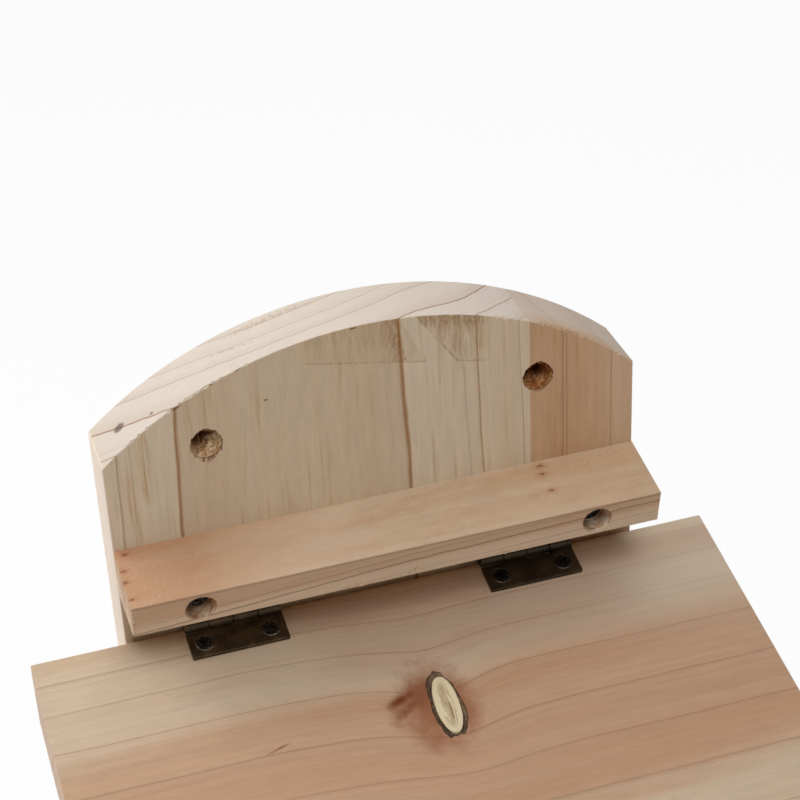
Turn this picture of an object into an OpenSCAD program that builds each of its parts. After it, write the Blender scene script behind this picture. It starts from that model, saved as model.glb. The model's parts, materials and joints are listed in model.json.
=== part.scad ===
// Wooden bird nest box with a hinged lid, hung by two holes in its arched backboard.
// Millimetres, +Z up, -Y to the front. The origin is on the base, at the centre of the footprint.

/* [Backboard] */
// Width of the backboard, and of the box in front of it
back_w = 140; // [125:1:170]
// Thickness of the backboard
back_t = 18.5; // [16:0.5:22]
// Straight height of the backboard above the batten, up to the spring of the arch
back_above_batten = 24.6; // [16:0.1:60]
// Rise of the arched top above its spring line
arch_rise = 26.5; // [12:0.5:50]
// Distance between the two hanging holes
hang_spacing = 87.3; // [60:0.1:105]
// Height of the hanging holes above the spring line
hang_rise = 1.2; // [-6:0.1:4]
// Diameter of the hanging holes
hang_d = 8; // [5:0.5:12]

/* [Box] */
// Depth inside the box, from the backboard to the front panel
inner_d = 105; // [90:1:130]
// Height of the side panels where they meet the backboard
wall_h = 214; // [180:1:260]
// Thickness of the two side panels
side_t = 18.5; // [15:0.5:22]
// Thickness of the front panel
front_t = 18.5; // [15:0.5:22]
// Thickness of the floor
floor_t = 18.5; // [15:0.5:22]
// Clearance between the floor and each wall
floor_gap = 0.2; // [0.1:0.05:0.5]
// Diameter of the drain holes in the floor
drain_d = 8; // [5:0.5:12]
// Distance of the drain holes from the edges of the floor
drain_inset = 14; // [12:0.5:18]

/* [Entrance] */
// Diameter of the entrance hole
entry_d = 32; // [25:1:45]
// Height of the centre of the entrance hole above the base
entry_h = 140; // [110:1:150]
// Chamfer round the outer edge of the entrance hole
entry_chamfer = 1.5; // [0.5:0.5:4]

/* [Batten] */
// Depth of the batten in front of the backboard
batten_d = 20; // [15:0.5:26]
// Height of the batten at the backboard
batten_h = 13.8; // [12:0.1:20]
// Slope of the top of the batten, in degrees
batten_slope = 11; // [4:0.5:14]
// Height of the underside of the batten above the rear edge of the roof
batten_gap = 14.6; // [14.5:0.1:25]
// Distance between the two batten screws
batten_screw_spacing = 105.2; // [80:0.1:115]
// Diameter of the counterbores in the front of the batten
counterbore_d = 7.6; // [7.2:0.1:8.4]
// Depth of the counterbores, down to the screw heads
counterbore_depth = 5.6; // [4:0.1:9]

/* [Roof] */
// Width of the roof board
roof_w = 185; // [175:1:220]
// Length of the top of the roof board down its slope
roof_l = 150; // [145:1:180]
// Thickness of the roof board
roof_t = 18.5; // [15:0.5:22]
// Slope of the roof, in degrees
roof_slope = 12; // [6:0.5:18]
// Gap between the rear edge of the roof and the backboard
roof_back_gap = 1; // [0.6:0.1:1.6]
// Gap between the closed roof and the walls under it
roof_seat_gap = 0.2; // [0.1:0.05:0.5]
// Sideways set of the roof board on its hinges
roof_shift = -2.4; // [-4:0.1:4]

/* [Hinges] */
// Length of each hinge along its pin
hinge_l = 25.8; // [22:0.1:32]
// Distance from the pin's axis to the free edge of a leaf
leaf_reach = 10; // [9:0.1:12]
// Thickness of a leaf
leaf_t = 1; // [0.8:0.05:1.2]
// Radius of a leaf's two free corners
leaf_corner_r = 0.4; // [0.3:0.1:2]
// Outer diameter of the knuckles
knuckle_d = 3.2; // [3:0.1:3.6]
// Number of knuckles along a hinge, shared by its two leaves
knuckle_count = 4; // [4:1:6]
// End gap between neighbouring knuckles
knuckle_gap = 0.3; // [0.2:0.05:0.5]
// Width of the seam where a rolled knuckle meets its leaf
seam_w = 0.15; // [0.1:0.05:0.25]
// Diameter of the hinge pins
pin_d = 1.6; // [1.2:0.1:2]
// Radial clearance of a pin in its knuckles
pin_fit = 0.05; // [0.02:0.01:0.1]
// Distance that the knuckles stand clear of the wood
knuckle_lift = 0.3; // [0.25:0.05:0.5]
// Distance between the middles of the two hinges
hinge_spacing = 80.8; // [60:0.1:100]
// Sideways set of the pair of hinges on the backboard
hinge_shift = -1.6; // [-4:0.1:4]
// Distance between the two screws of a leaf
leaf_screw_spacing = 17.5; // [14:0.1:18]
// Distance from the pin's axis to the screws of a leaf
leaf_screw_reach = 5.7; // [5.2:0.1:6.2]

/* [Screws] */
// Head diameter of the hinge screws
small_head_d = 5; // [4.4:0.1:5.4]
// Shank diameter of the hinge screws
small_shank_d = 2.4; // [2:0.1:2.8]
// Length of the hinge screws
small_l = 12; // [10:0.5:14]
// Head diameter of the wood screws
large_head_d = 6.8; // [6:0.1:7]
// Shank diameter of the wood screws
large_shank_d = 3.6; // [3:0.1:4.2]
// Length of the screws that join the walls and the floor
wall_screw_l = 40; // [35:1:50]
// Length of the batten screws
batten_screw_l = 28; // [24:1:32]
// Distance of the end screws of a wall from its lower and upper end
wall_screw_edge = 30; // [25:1:45]
// Distance between the two floor screws of a side panel
floor_screw_spacing = 44; // [30:1:50]
// Clearance round a screw in its hole
screw_fit = 0.08; // [0.04:0.02:0.15]
// Span of the cross recess, as a part of the head's diameter
recess_span_part = 0.56; // [0.4:0.01:0.65]
// Width of the recess's arms, as a part of the head's diameter
recess_arm_part = 0.15; // [0.1:0.01:0.2]
// Depth of the cross recess, as a part of the head's diameter
recess_depth_part = 0.24; // [0.15:0.01:0.3]

/* [Hidden] */
$fn = 64;

LEFT = -1;
RIGHT = 1;
// Overshoot of a cutting shape past the face that it cuts
CUT = 1;

// Colours
PALE_WOOD = [0.82, 0.72, 0.58];
PINK_WOOD = [0.80, 0.66, 0.52];
DARK_BRONZE = [0.17, 0.14, 0.10];
BLACK_STEEL = [0.11, 0.11, 0.12];

// Footprint: the rear face of the backboard, its front face, and both faces of the front panel
rear_y = (back_t + inner_d + front_t) / 2;
back_y = rear_y - back_t;
front_in_y = back_y - inner_d;
front_y = front_in_y - front_t;
side_x = back_w / 2 - side_t / 2;

// Roof: height of a sloping plane at the backboard that lies "rise" above the tops of the walls
function roof_plane_z(rise) = wall_h + rise / cos(roof_slope);
// Height of the tops of the walls at a given y
function wall_top_z(y) = wall_h - (back_y - y) * tan(roof_slope);
roof_under_z = roof_plane_z(roof_seat_gap);
roof_top_z = roof_plane_z(roof_seat_gap + roof_t);

// Hinges: the pin stands off the backboard and the roof by the same distance
pin_off = knuckle_d / 2 + knuckle_lift;
pin_y = back_y - pin_off;
pin_z = roof_top_z - pin_off * tan(roof_slope) + pin_off / cos(roof_slope);
knuckle_pitch = (hinge_l + knuckle_gap) / knuckle_count;

// Backboard: the batten's seat, the spring line of the arch and the arch's radius
batten_z = roof_top_z + batten_gap;
spring_z = batten_z + batten_h + back_above_batten;
arch_r = (pow(back_w / 2, 2) + pow(arch_rise, 2)) / (2 * arch_rise);
hang_z = spring_z + hang_rise;

// Batten: its front face is square to its sloping top
batten_front_h = batten_h - batten_d * tan(batten_slope);
batten_toe = batten_front_h * tan(batten_slope);
batten_screw_z = batten_z + batten_front_h / 2;
batten_screw_y = back_y - batten_d + (batten_front_h / 2) * tan(batten_slope) + counterbore_depth;

// Heights of the three screws in each upright joint
wall_screw_top = wall_top_z(front_y) - wall_screw_edge;
wall_screw_heights = [wall_screw_edge, (wall_screw_edge + wall_screw_top) / 2, wall_screw_top];

// Angle at which the top of the opening roof meets the lower front edge of the batten
stop_y = pin_y - (back_y - batten_d + batten_toe);
stop_z = batten_z - pin_z;
stop_angle = atan2(stop_z, stop_y) + asin(pin_off / norm([stop_y, stop_z])) + roof_slope;
echo(roof_stop_degrees = stop_angle);
echo(pin_y = pin_y, pin_z = pin_z, hang_z = hang_z, arch_top = spring_z + arch_rise);

// Extrudes an outline drawn in (y, z) along x, centred on x = 0
module along_x(length) {
  rotate([90, 0, 90]) linear_extrude(length, center = true) children();
}

// Screw with a countersunk head: its top is at the origin and it points down -Z
module screw(head_d, shank_d, length) {
  head_h = (head_d - shank_d) / 2;
  tip_h = shank_d;
  difference() {
    union() {
      translate([0, 0, -head_h]) cylinder(d1 = shank_d, d2 = head_d, h = head_h);
      translate([0, 0, tip_h - length]) cylinder(d = shank_d, h = length - tip_h - head_h);
      translate([0, 0, -length]) cylinder(d1 = 0, d2 = shank_d, h = tip_h);
    }
    cross_recess(head_d);
  }
}

// Four-armed recess in the top of a screw head
module cross_recess(head_d) {
  arm_l = head_d * recess_span_part;
  arm_w = head_d * recess_arm_part;
  depth = head_d * recess_depth_part;
  for (turn = [0, 90])
    rotate([0, 0, turn]) translate([-arm_l / 2, -arm_w / 2, -depth]) cube([arm_l, arm_w, depth + CUT]);
}

// Hole for such a screw, larger by the screw clearance all round and open above its head
module screw_hole(head_d, shank_d, length) {
  head_h = (head_d - shank_d) / 2;
  open_d = head_d + 2 * screw_fit;
  translate([0, 0, -head_h]) cylinder(d1 = shank_d + 2 * screw_fit, d2 = open_d, h = head_h);
  cylinder(d = open_d, h = CUT);
  translate([0, 0, -length - screw_fit]) cylinder(d = shank_d + 2 * screw_fit, h = length);
}

module wall_screw() { screw(large_head_d, large_shank_d, wall_screw_l); }
module wall_screw_hole() { screw_hole(large_head_d, large_shank_d, wall_screw_l); }
module batten_screw() { screw(large_head_d, large_shank_d, batten_screw_l); }
module batten_screw_hole() { screw_hole(large_head_d, large_shank_d, batten_screw_l); }
module leaf_screw() { screw(small_head_d, small_shank_d, small_l); }
module leaf_screw_hole() { screw_hole(small_head_d, small_shank_d, small_l); }

// Places of the screws: each child is drawn with its head outwards at the face that it enters
module at_back_screws(hand) {
  for (z = wall_screw_heights) translate([hand * side_x, rear_y, z]) rotate([-90, 0, 0]) children();
}

module at_front_screws(hand) {
  for (z = wall_screw_heights) translate([hand * side_x, front_y, z]) rotate([90, 0, 0]) children();
}

module at_floor_screws(hand) {
  for (along = [-0.5, 0.5])
    translate([hand * back_w / 2, (back_y + front_in_y) / 2 + along * floor_screw_spacing, floor_t / 2])
      rotate([0, hand * 90, 0]) children();
}

module at_batten_screws() {
  for (along = [-0.5, 0.5])
    translate([along * batten_screw_spacing, batten_screw_y, batten_screw_z]) rotate([90, 0, 0]) children();
}

// Hinge frame of one leaf: the pin lies along x, the leaf lies along +Y and the wood is below
module at_hinge(hand) {
  translate([hinge_shift + hand * hinge_spacing / 2, pin_y, pin_z]) children();
}

module on_back_leaf(hand) { at_hinge(hand) rotate([90, 0, 0]) children(); }
module on_roof_leaf(hand) { at_hinge(hand) rotate([roof_slope, 0, 0]) rotate([0, 0, 180]) children(); }

module at_leaf_screws() {
  for (along = [-0.5, 0.5])
    translate([along * leaf_screw_spacing, leaf_screw_reach, leaf_t - pin_off]) children();
}

// Outline of a leaf in plan, with its two free corners rounded
module leaf_plan(inner_edge) {
  straight_l = hinge_l - 2 * leaf_corner_r;
  translate([-hinge_l / 2, inner_edge]) square([hinge_l, leaf_reach - leaf_corner_r - inner_edge]);
  translate([-straight_l / 2, inner_edge]) square([straight_l, leaf_reach - inner_edge]);
  for (along = [-0.5, 0.5])
    translate([along * straight_l, leaf_reach - leaf_corner_r]) circle(leaf_corner_r);
}

// Section of a rolled knuckle with the strip of leaf that runs into it
module knuckle_section(plate_start) {
  difference() {
    union() {
      circle(d = knuckle_d);
      translate([0, -pin_off]) square([plate_start, leaf_t]);
    }
    circle(d = pin_d + 2 * pin_fit);
    translate([0, leaf_t - pin_off]) square([knuckle_d, seam_w]);
  }
}

// One leaf; "first" is the number of its first knuckle, counted from its own -X end
module leaf(first) {
  // The plate's upper inner edge stays one knuckle gap off the other leaf's knuckles
  plate_start = sqrt(pow(knuckle_d / 2 + knuckle_gap, 2) - pow(pin_off - leaf_t, 2));
  difference() {
    union() {
      translate([0, 0, -pin_off]) linear_extrude(leaf_t) leaf_plan(plate_start);
      for (k = [first : 2 : knuckle_count - 1])
        translate([k * knuckle_pitch - hinge_l / 2, 0, 0])
          rotate([90, 0, 90]) linear_extrude(knuckle_pitch - knuckle_gap) knuckle_section(plate_start);
    }
    at_leaf_screws() leaf_screw_hole();
  }
}

module hinge_pin(hand) {
  color(DARK_BRONZE) at_hinge(hand) rotate([0, 90, 0]) cylinder(d = pin_d, h = hinge_l, center = true);
}

module back_leaf(hand) { color(DARK_BRONZE) on_back_leaf(hand) leaf(0); }
module roof_leaf(hand) { color(DARK_BRONZE) on_roof_leaf(hand) leaf(knuckle_count % 2); }
module back_leaf_screws(hand) { color(BLACK_STEEL) on_back_leaf(hand) at_leaf_screws() leaf_screw(); }
module roof_leaf_screws(hand) { color(BLACK_STEEL) on_roof_leaf(hand) at_leaf_screws() leaf_screw(); }

// Outline of the backboard: straight sides under a circular arch
module back_outline() {
  translate([-back_w / 2, 0]) square([back_w, spring_z]);
  intersection() {
    translate([0, spring_z + arch_rise - arch_r]) circle(arch_r);
    translate([-back_w / 2, spring_z]) square([back_w, arch_rise]);
  }
}

module backboard() {
  color(PALE_WOOD) difference() {
    translate([0, rear_y, 0]) rotate([90, 0, 0]) linear_extrude(back_t) difference() {
      back_outline();
      for (along = [-0.5, 0.5]) translate([along * hang_spacing, hang_z]) circle(d = hang_d);
    }
    at_batten_screws() batten_screw_hole();
    for (hand = [LEFT, RIGHT]) {
      at_back_screws(hand) wall_screw_hole();
      on_back_leaf(hand) at_leaf_screws() leaf_screw_hole();
    }
  }
}

module batten() {
  color(PINK_WOOD) difference() {
    along_x(back_w) polygon([
      [back_y, batten_z],
      [back_y, batten_z + batten_h],
      [back_y - batten_d, batten_z + batten_front_h],
      [back_y - batten_d + batten_toe, batten_z]
    ]);
    at_batten_screws() {
      batten_screw_hole();
      cylinder(d = counterbore_d, h = batten_d);
    }
  }
}

module batten_screws() { color(BLACK_STEEL) at_batten_screws() batten_screw(); }

// Roof board: its rear edge is cut plumb, its front edge square to its top
module roof() {
  rear = back_y - roof_back_gap;
  front = rear - roof_l * cos(roof_slope);
  top_rear_z = roof_top_z - roof_back_gap * tan(roof_slope);
  color(PINK_WOOD) difference() {
    translate([roof_shift, 0, 0]) along_x(roof_w) polygon([
      [rear, roof_under_z - roof_back_gap * tan(roof_slope)],
      [rear, top_rear_z],
      [front, top_rear_z - roof_l * sin(roof_slope)],
      [front + roof_t * sin(roof_slope), top_rear_z - roof_l * sin(roof_slope) - roof_t * cos(roof_slope)]
    ]);
    for (hand = [LEFT, RIGHT]) on_roof_leaf(hand) at_leaf_screws() leaf_screw_hole();
  }
}

module front_panel() {
  color(PALE_WOOD) difference() {
    along_x(back_w) polygon([
      [front_y, 0],
      [front_in_y, 0],
      [front_in_y, wall_top_z(front_in_y)],
      [front_y, wall_top_z(front_y)]
    ]);
    translate([0, front_y, entry_h]) rotate([-90, 0, 0]) {
      translate([0, 0, -CUT]) cylinder(d = entry_d, h = front_t + 2 * CUT);
      translate([0, 0, -CUT])
        cylinder(d1 = entry_d + 2 * (entry_chamfer + CUT), d2 = entry_d, h = entry_chamfer + CUT);
    }
    for (hand = [LEFT, RIGHT]) at_front_screws(hand) wall_screw_hole();
  }
}

module side_panel(hand) {
  color(PALE_WOOD) difference() {
    translate([hand * side_x, 0, 0]) along_x(side_t) polygon([
      [front_in_y, 0],
      [back_y, 0],
      [back_y, wall_h],
      [front_in_y, wall_top_z(front_in_y)]
    ]);
    at_back_screws(hand) wall_screw_hole();
    at_front_screws(hand) wall_screw_hole();
    at_floor_screws(hand) wall_screw_hole();
  }
}

module floor_board() {
  floor_w = back_w - 2 * side_t - 2 * floor_gap;
  floor_d = inner_d - 2 * floor_gap;
  mid_y = (back_y + front_in_y) / 2;
  color(PALE_WOOD) difference() {
    translate([0, mid_y, 0]) linear_extrude(floor_t) difference() {
      square([floor_w, floor_d], center = true);
      for (sx = [-1, 1], sy = [-1, 1])
        translate([sx * (floor_w / 2 - drain_inset), sy * (floor_d / 2 - drain_inset)]) circle(d = drain_d);
    }
    for (hand = [LEFT, RIGHT]) at_floor_screws(hand) wall_screw_hole();
  }
}

module back_screws(hand) { color(BLACK_STEEL) at_back_screws(hand) wall_screw(); }
module front_screws(hand) { color(BLACK_STEEL) at_front_screws(hand) wall_screw(); }
module floor_screws(hand) { color(BLACK_STEEL) at_floor_screws(hand) wall_screw(); }

backboard();
batten();
batten_screws();
roof();
front_panel();
side_panel(LEFT);  // left_side
side_panel(RIGHT);  // right_side
floor_board();  // floor
back_leaf(LEFT);  // left_hinge_back_leaf
roof_leaf(LEFT);  // left_hinge_roof_leaf
hinge_pin(LEFT);  // left_hinge_pin
back_leaf_screws(LEFT);  // left_hinge_back_screws
roof_leaf_screws(LEFT);  // left_hinge_roof_screws
back_leaf(RIGHT);  // right_hinge_back_leaf
roof_leaf(RIGHT);  // right_hinge_roof_leaf
hinge_pin(RIGHT);  // right_hinge_pin
back_leaf_screws(RIGHT);  // right_hinge_back_screws
roof_leaf_screws(RIGHT);  // right_hinge_roof_screws
back_screws(LEFT);  // left_back_screws
back_screws(RIGHT);  // right_back_screws
front_screws(LEFT);  // left_front_screws
front_screws(RIGHT);  // right_front_screws
floor_screws(LEFT);  // left_floor_screws
floor_screws(RIGHT);  // right_floor_screws
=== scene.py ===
# %% [markdown]
# # A wooden nest box with a hinged lid
#
# The solids of this box already have their true sizes and places. This lesson gives them the looks of
# the real thing: sawn softwood with its year rings, a knot in the lid, torn grain where a drill went
# through, worn bronze hinges and black screws.
#
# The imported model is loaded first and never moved. Its bodies are `box`, which stands still, and `lid`,
# which turns on the hinge pins, and every piece made below rides on one of the two.

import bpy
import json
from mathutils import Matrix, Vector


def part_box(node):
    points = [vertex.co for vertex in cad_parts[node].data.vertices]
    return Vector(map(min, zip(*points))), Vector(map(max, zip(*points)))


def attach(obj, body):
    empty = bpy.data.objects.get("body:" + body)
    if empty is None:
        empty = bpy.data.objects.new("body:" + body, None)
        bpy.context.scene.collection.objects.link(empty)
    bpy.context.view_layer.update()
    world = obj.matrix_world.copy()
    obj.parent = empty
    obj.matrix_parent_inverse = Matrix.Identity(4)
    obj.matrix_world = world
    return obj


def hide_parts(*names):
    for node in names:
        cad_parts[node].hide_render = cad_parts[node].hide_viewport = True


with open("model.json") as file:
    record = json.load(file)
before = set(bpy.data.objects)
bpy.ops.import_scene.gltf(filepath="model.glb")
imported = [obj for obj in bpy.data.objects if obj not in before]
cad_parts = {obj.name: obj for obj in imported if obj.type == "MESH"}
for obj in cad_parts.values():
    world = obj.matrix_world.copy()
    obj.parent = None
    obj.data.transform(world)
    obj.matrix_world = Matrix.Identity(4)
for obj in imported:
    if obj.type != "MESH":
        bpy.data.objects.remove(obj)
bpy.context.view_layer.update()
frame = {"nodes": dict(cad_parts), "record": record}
solids = frame["nodes"]

# %% Modules and units
import json
import math
import random

import bmesh
import bpy
from mathutils import Matrix, Vector

MM = 0.001
X, Y, Z = (Vector(axis) for axis in ((1, 0, 0), (0, 1, 0), (0, 0, 1)))
scene = bpy.context.scene
scene.view_settings.view_transform = "Standard"
print("lengths are in metres, and one millimetre is", MM)

# %% [markdown]
# ## The camera
#
# The photograph looks down at the top of the box from the front and a little from the left. The
# focal length in pixels and the three turns were found by lining up the corners of the boards, so the
# camera is written with the same few numbers: where the eye is, and how it is turned.

# %% Camera
PHOTO_PX = 800
FOCAL_PX = 2160
SENSOR_MM = 36
eye = Vector((-121.6, -390.5, 577.7)) * MM
yaw, pitch, roll = (math.radians(turn) for turn in (16.14, 32.07, -2.82))

ahead = Vector((math.sin(yaw) * math.cos(pitch), math.cos(yaw) * math.cos(pitch), -math.sin(pitch)))
level = Vector((math.cos(yaw), -math.sin(yaw), 0))
upright = level.cross(ahead)
to_right = math.cos(roll) * level + math.sin(roll) * upright
to_top = math.cos(roll) * upright - math.sin(roll) * level

camera = bpy.data.objects.new("camera", bpy.data.cameras.new("camera"))
scene.collection.objects.link(camera)
camera.data.sensor_width = SENSOR_MM
camera.data.lens = FOCAL_PX / PHOTO_PX * SENSOR_MM
camera.matrix_world = Matrix.Translation(eye) @ Matrix((to_right, to_top, -ahead)).transposed().to_4x4()
scene.camera = camera
print("lens", round(camera.data.lens, 1), "mm, looking down", round(math.degrees(pitch), 1), "degrees")

# %% [markdown]
# ## Writing node trees as Python
#
# A wood finish needs dozens of small sums. Wired by hand, each is a Math node, and the idea is soon
# lost. Here a `Wire` stands for one output of a node, and `+ - * /` on wires add the Math nodes. Every
# other node comes from `Graph.node`, which takes the node's type, its settings and its sockets. The
# same two classes serve shader trees and geometry trees.

# %% Wires
class Wire:
    """One output of a node, on which sums are written."""

    def __init__(self, graph, socket):
        self.graph = graph
        self.socket = socket

    def math(self, operation, *others):
        return self.graph.math(operation, self, *others)

    def __add__(self, other):
        return self.math("ADD", other)

    def __sub__(self, other):
        return self.math("SUBTRACT", other)

    def __rsub__(self, other):
        return self.graph.math("SUBTRACT", other, self)

    def __mul__(self, other):
        return self.math("MULTIPLY", other)

    def __truediv__(self, other):
        return self.math("DIVIDE", other)

    def __rtruediv__(self, other):
        return self.graph.math("DIVIDE", other, self)

    __radd__ = __add__
    __rmul__ = __mul__

    def out(self, name):
        """Another output of the same node."""
        return Wire(self.graph, self.socket.node.outputs[name])


print("wires answer to + - * / from either side")


# %% Graphs
class Graph:
    """A node tree being written."""

    def __init__(self, tree):
        self.tree = tree

    def node(self, kind, settings=None, sockets=None, out=0):
        made = self.tree.nodes.new(kind)
        for name, value in (settings or {}).items():
            if name == "stops":
                self.set_stops(made.color_ramp.elements, value)
            else:
                setattr(made, name, value)
        for name, value in (sockets or {}).items():
            for one in value if isinstance(value, list) else [value]:
                if isinstance(one, Wire):
                    self.tree.links.new(one.socket, made.inputs[name])
                else:
                    made.inputs[name].default_value = one
        return Wire(self, made.outputs[out])

    @staticmethod
    def set_stops(elements, stops):
        while len(elements) < len(stops):
            elements.new(1.0)
        for element, (position, grey) in zip(elements, stops):
            element.position = position
            element.color = (grey, grey, grey, 1)

    def math(self, operation, *values):
        return self.node("ShaderNodeMath", {"operation": operation}, dict(enumerate(values)))

    def vector(self, operation, *values, out=0):
        return self.node("ShaderNodeVectorMath", {"operation": operation}, dict(enumerate(values)), out)

    def combine(self, x, y, z):
        return self.node("ShaderNodeCombineXYZ", None, {0: x, 1: y, 2: z})

    def mix(self, factor, a, b, blend="MIX"):
        """Colour a where factor is 0, colour b where it is 1."""
        settings = {"data_type": "RGBA", "blend_type": blend}
        return self.node("ShaderNodeMix", settings, {0: factor, 6: a, 7: b}, 2)

    def step(self, value, low, high):
        """0 below low, 1 above high, smooth between; also the other way round if low is the larger."""
        sockets = {"Value": value, "From Min": low, "From Max": high}
        return self.node("ShaderNodeMapRange", {"interpolation_type": "SMOOTHSTEP"}, sockets)

    def reach(self, x, y):
        """Distance from 0, 0."""
        return (x * x + y * y).math("SQRT")

    def noise(self, x, y, z, detail=2.0, roughness=0.5):
        """Noise about 0.5, at a place whose unit is one bump."""
        sockets = {"Vector": self.combine(x, y, z), "Scale": 1.0, "Detail": detail, "Roughness": roughness}
        return self.node("ShaderNodeTexNoise", None, sockets)

    def ripple(self, *place, **kind):
        """Noise about 0."""
        return self.noise(*place, **kind) - 0.5


trial = Graph(bpy.data.node_groups.new("trial", "ShaderNodeTree"))
rest = 1 - trial.node("ShaderNodeValue") * 2
print("1 - value * 2 is", len(trial.tree.nodes), "nodes, the last a", rest.socket.node.operation)
bpy.data.node_groups.remove(trial.tree)

# %% [markdown]
# A finish is laid on like paint: a ground colour first, then one tint over another, and at last how rough
# and how uneven the surface is. One long sum could say the same, but then a mark could not be added or
# taken away by itself. `Finish` keeps the colour of the moment, so each mark is a line. Heights are
# millimetres and the Bump node works at 1 mm, so a fibre stands as high as a real one does.

# %% Colours and finishes
def paint(red, green, blue):
    """A colour as a screen shows it, 0 to 255, in the linear numbers that shaders use."""
    parts = [part / 255 for part in (red, green, blue)]
    return (*[part / 12.92 if part <= 0.04045 else ((part + 0.055) / 1.055) ** 2.4 for part in parts], 1)


class Finish:
    """A material being painted: colour and height are wires that later marks go on from."""

    def __init__(self, name):
        self.material = bpy.data.materials.new(name)
        self.material.use_nodes = True
        self.graph = Graph(self.material.node_tree)
        self.shader = self.material.node_tree.nodes["Principled BSDF"]
        self.colour = self.height = None

    def tint(self, amount, *shade):
        """Lays a screen colour over the present one."""
        self.colour = self.graph.mix(amount, self.colour, paint(*shade))

    def glaze(self, amount, filter_colour):
        """Multiplies the present colour, as a clear stain does."""
        glazed = self.graph.mix(1.0, self.colour, filter_colour, "MULTIPLY")
        self.colour = self.graph.mix(amount, self.colour, glazed)

    def scale(self, factor):
        """Makes the present colour lighter or darker."""
        sockets = {0: self.colour, "Scale": factor}
        self.colour = self.graph.node("ShaderNodeVectorMath", {"operation": "SCALE"}, sockets)

    def done(self, roughness, **values):
        """Links the wires, sets single values and returns the material."""
        heights = {"Strength": 1.0, "Distance": MM, "Height": self.height}
        bump = self.graph.node("ShaderNodeBump", None, heights)
        wires = {"Base Color": self.colour, "Roughness": roughness, "Normal": bump}
        for name, wire in wires.items():
            self.graph.tree.links.new(wire.socket, self.shader.inputs[name])
        names = {"ior": "IOR", "metallic": "Metallic", "specular_level": "Specular IOR Level"}
        for name, value in values.items():
            self.shader.inputs[names[name]].default_value = value
        print(self.material.name, "uses", len(self.graph.tree.nodes), "nodes")
        return self.material


print("a screen grey of 128 is", round(paint(128, 128, 128)[0], 3), "in a shader")

# %% [markdown]
# ## A board and its grain
#
# A board is cut from a trunk, so its grain is not painted on: it is the trunk's year rings, met by the
# saw. A face cut along the rings shows lines, the end of the same board shows arcs, and the two join at
# the edge. A flat picture of grain could never do that, so the finish works in solid space.
#
# Each board gets its own axes: `along` the grain, `across` the main face and `depth` into the wood. The
# `pith` is the middle of the trunk, given across and in depth. The distance from it is the ring radius,
# and late wood darkens slowly towards the end of each year and stops at once, as it does in a tree.
# A colour ramp is stored in few steps, so a ramp takes only three rings and stays crisp.

# %% Boards
class Board:
    """Axes of one board: an origin on its main face, the grain, across it, and into the wood."""

    def __init__(self, origin, grain, across, into):
        self.origin = Vector(origin)
        self.axes = [Vector(axis).normalized() for axis in (grain, across, into)]

    def space(self, g):
        """Wires for along, across and depth in millimetres."""
        place = g.node("ShaderNodeTexCoord", out="Object")
        offset = g.vector("SUBTRACT", place, self.origin)
        return [g.vector("DOT_PRODUCT", offset, axis / MM, out="Value") for axis in self.axes]

    def local(self, point):
        """Along, across and depth of one point in millimetres."""
        return [(point - self.origin).dot(axis) / MM for axis in self.axes]

    def point(self, *place):
        """The point at along, across and depth in millimetres."""
        return self.origin + sum((axis * part for axis, part in zip(self.axes, place)), Vector()) * MM


whole_box = Board((0, 0, 0), X, Y, Z)
print("10 mm along and 5 mm deep is at", [round(v, 3) for v in whole_box.point(10, 0, 5)])


# %% Year rings
def ring_radius(g, space, look):
    """Distance from the pith, with the slow and quick wander that a grown trunk has."""
    along, across, depth = space
    aside, behind = look["pith"]
    slow = g.ripple(along * 0.009, across * 0.035, depth * 0.035)
    quick = g.ripple(along * 0.04, across * 0.25, depth * 0.25)
    radius = g.reach(across - aside, depth - behind)
    return radius + slow * look["sway"] + quick * 0.7 + along * look["taper"]


RINGS_PER_RAMP = 3
FIRST_FADE = 5.0
SOFT = 0.16


def late_wood(g, radius, rings):
    """0 in early wood, up to 1 on the dark line that ends each year. Rings are (radius, width, strength)."""
    total, last = 0, rings[0][0] - 2 * FIRST_FADE
    for start in range(0, len(rings), RINGS_PER_RAMP):
        points = []
        for ring, width, strength in rings[start:start + RINGS_PER_RAMP]:
            fade = min(FIRST_FADE, 0.6 * (ring - last))
            points += [(ring - fade, 0), (ring - width, SOFT * strength)]
            points += [(ring - 0.3 * width, strength), (ring + 0.3 * width, 0)]
            last = ring
        low, high = points[0][0] - 0.1, points[-1][0] + 0.1
        stops = [((place - low) / (high - low), grey) for place, grey in points]
        total = total + g.node("ShaderNodeValToRGB", {"stops": stops}, {0: (radius - low) / (high - low)})
    return total


def growth(first, spacing, count, seed):
    """Rings of a quick-grown softwood, drawn by chance from a fixed seed."""
    draw = random.Random(seed)
    rings, ring = [], first
    for _ in range(count):
        rings.append((ring, draw.uniform(0.3, 0.6), draw.uniform(0.5, 0.95)))
        ring += spacing * draw.uniform(0.7, 1.35)
    return rings


print("growth rings of a sample:", [round(ring[0], 1) for ring in growth(50, 8, 5, seed=1)])

# %% [markdown]
# ## From grain to a finish
#
# Planed softwood has fine fibres along the grain, broad soft streaks, and a paler, denser look where the
# saw cut across the fibres. The surface turns its own way in each case, so the normal in the piece's own
# space tells end grain from long grain. All noise is drawn out along the grain by small factors there.

# %% The wood finish
PLAIN_LOOK = {"taper": 0.0, "sway": 1.5, "line": 0.75, "end_line": 0.8, "fibre": 0.18}


def end_grain(g, board):
    """1 on faces that cut across the fibres, 0 on faces along them."""
    normal = g.node("ShaderNodeTexCoord", out="Normal")
    facing = g.vector("DOT_PRODUCT", normal, board.axes[0], out="Value").math("ABSOLUTE")
    return g.step(facing, 0.45, 0.8)


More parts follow.
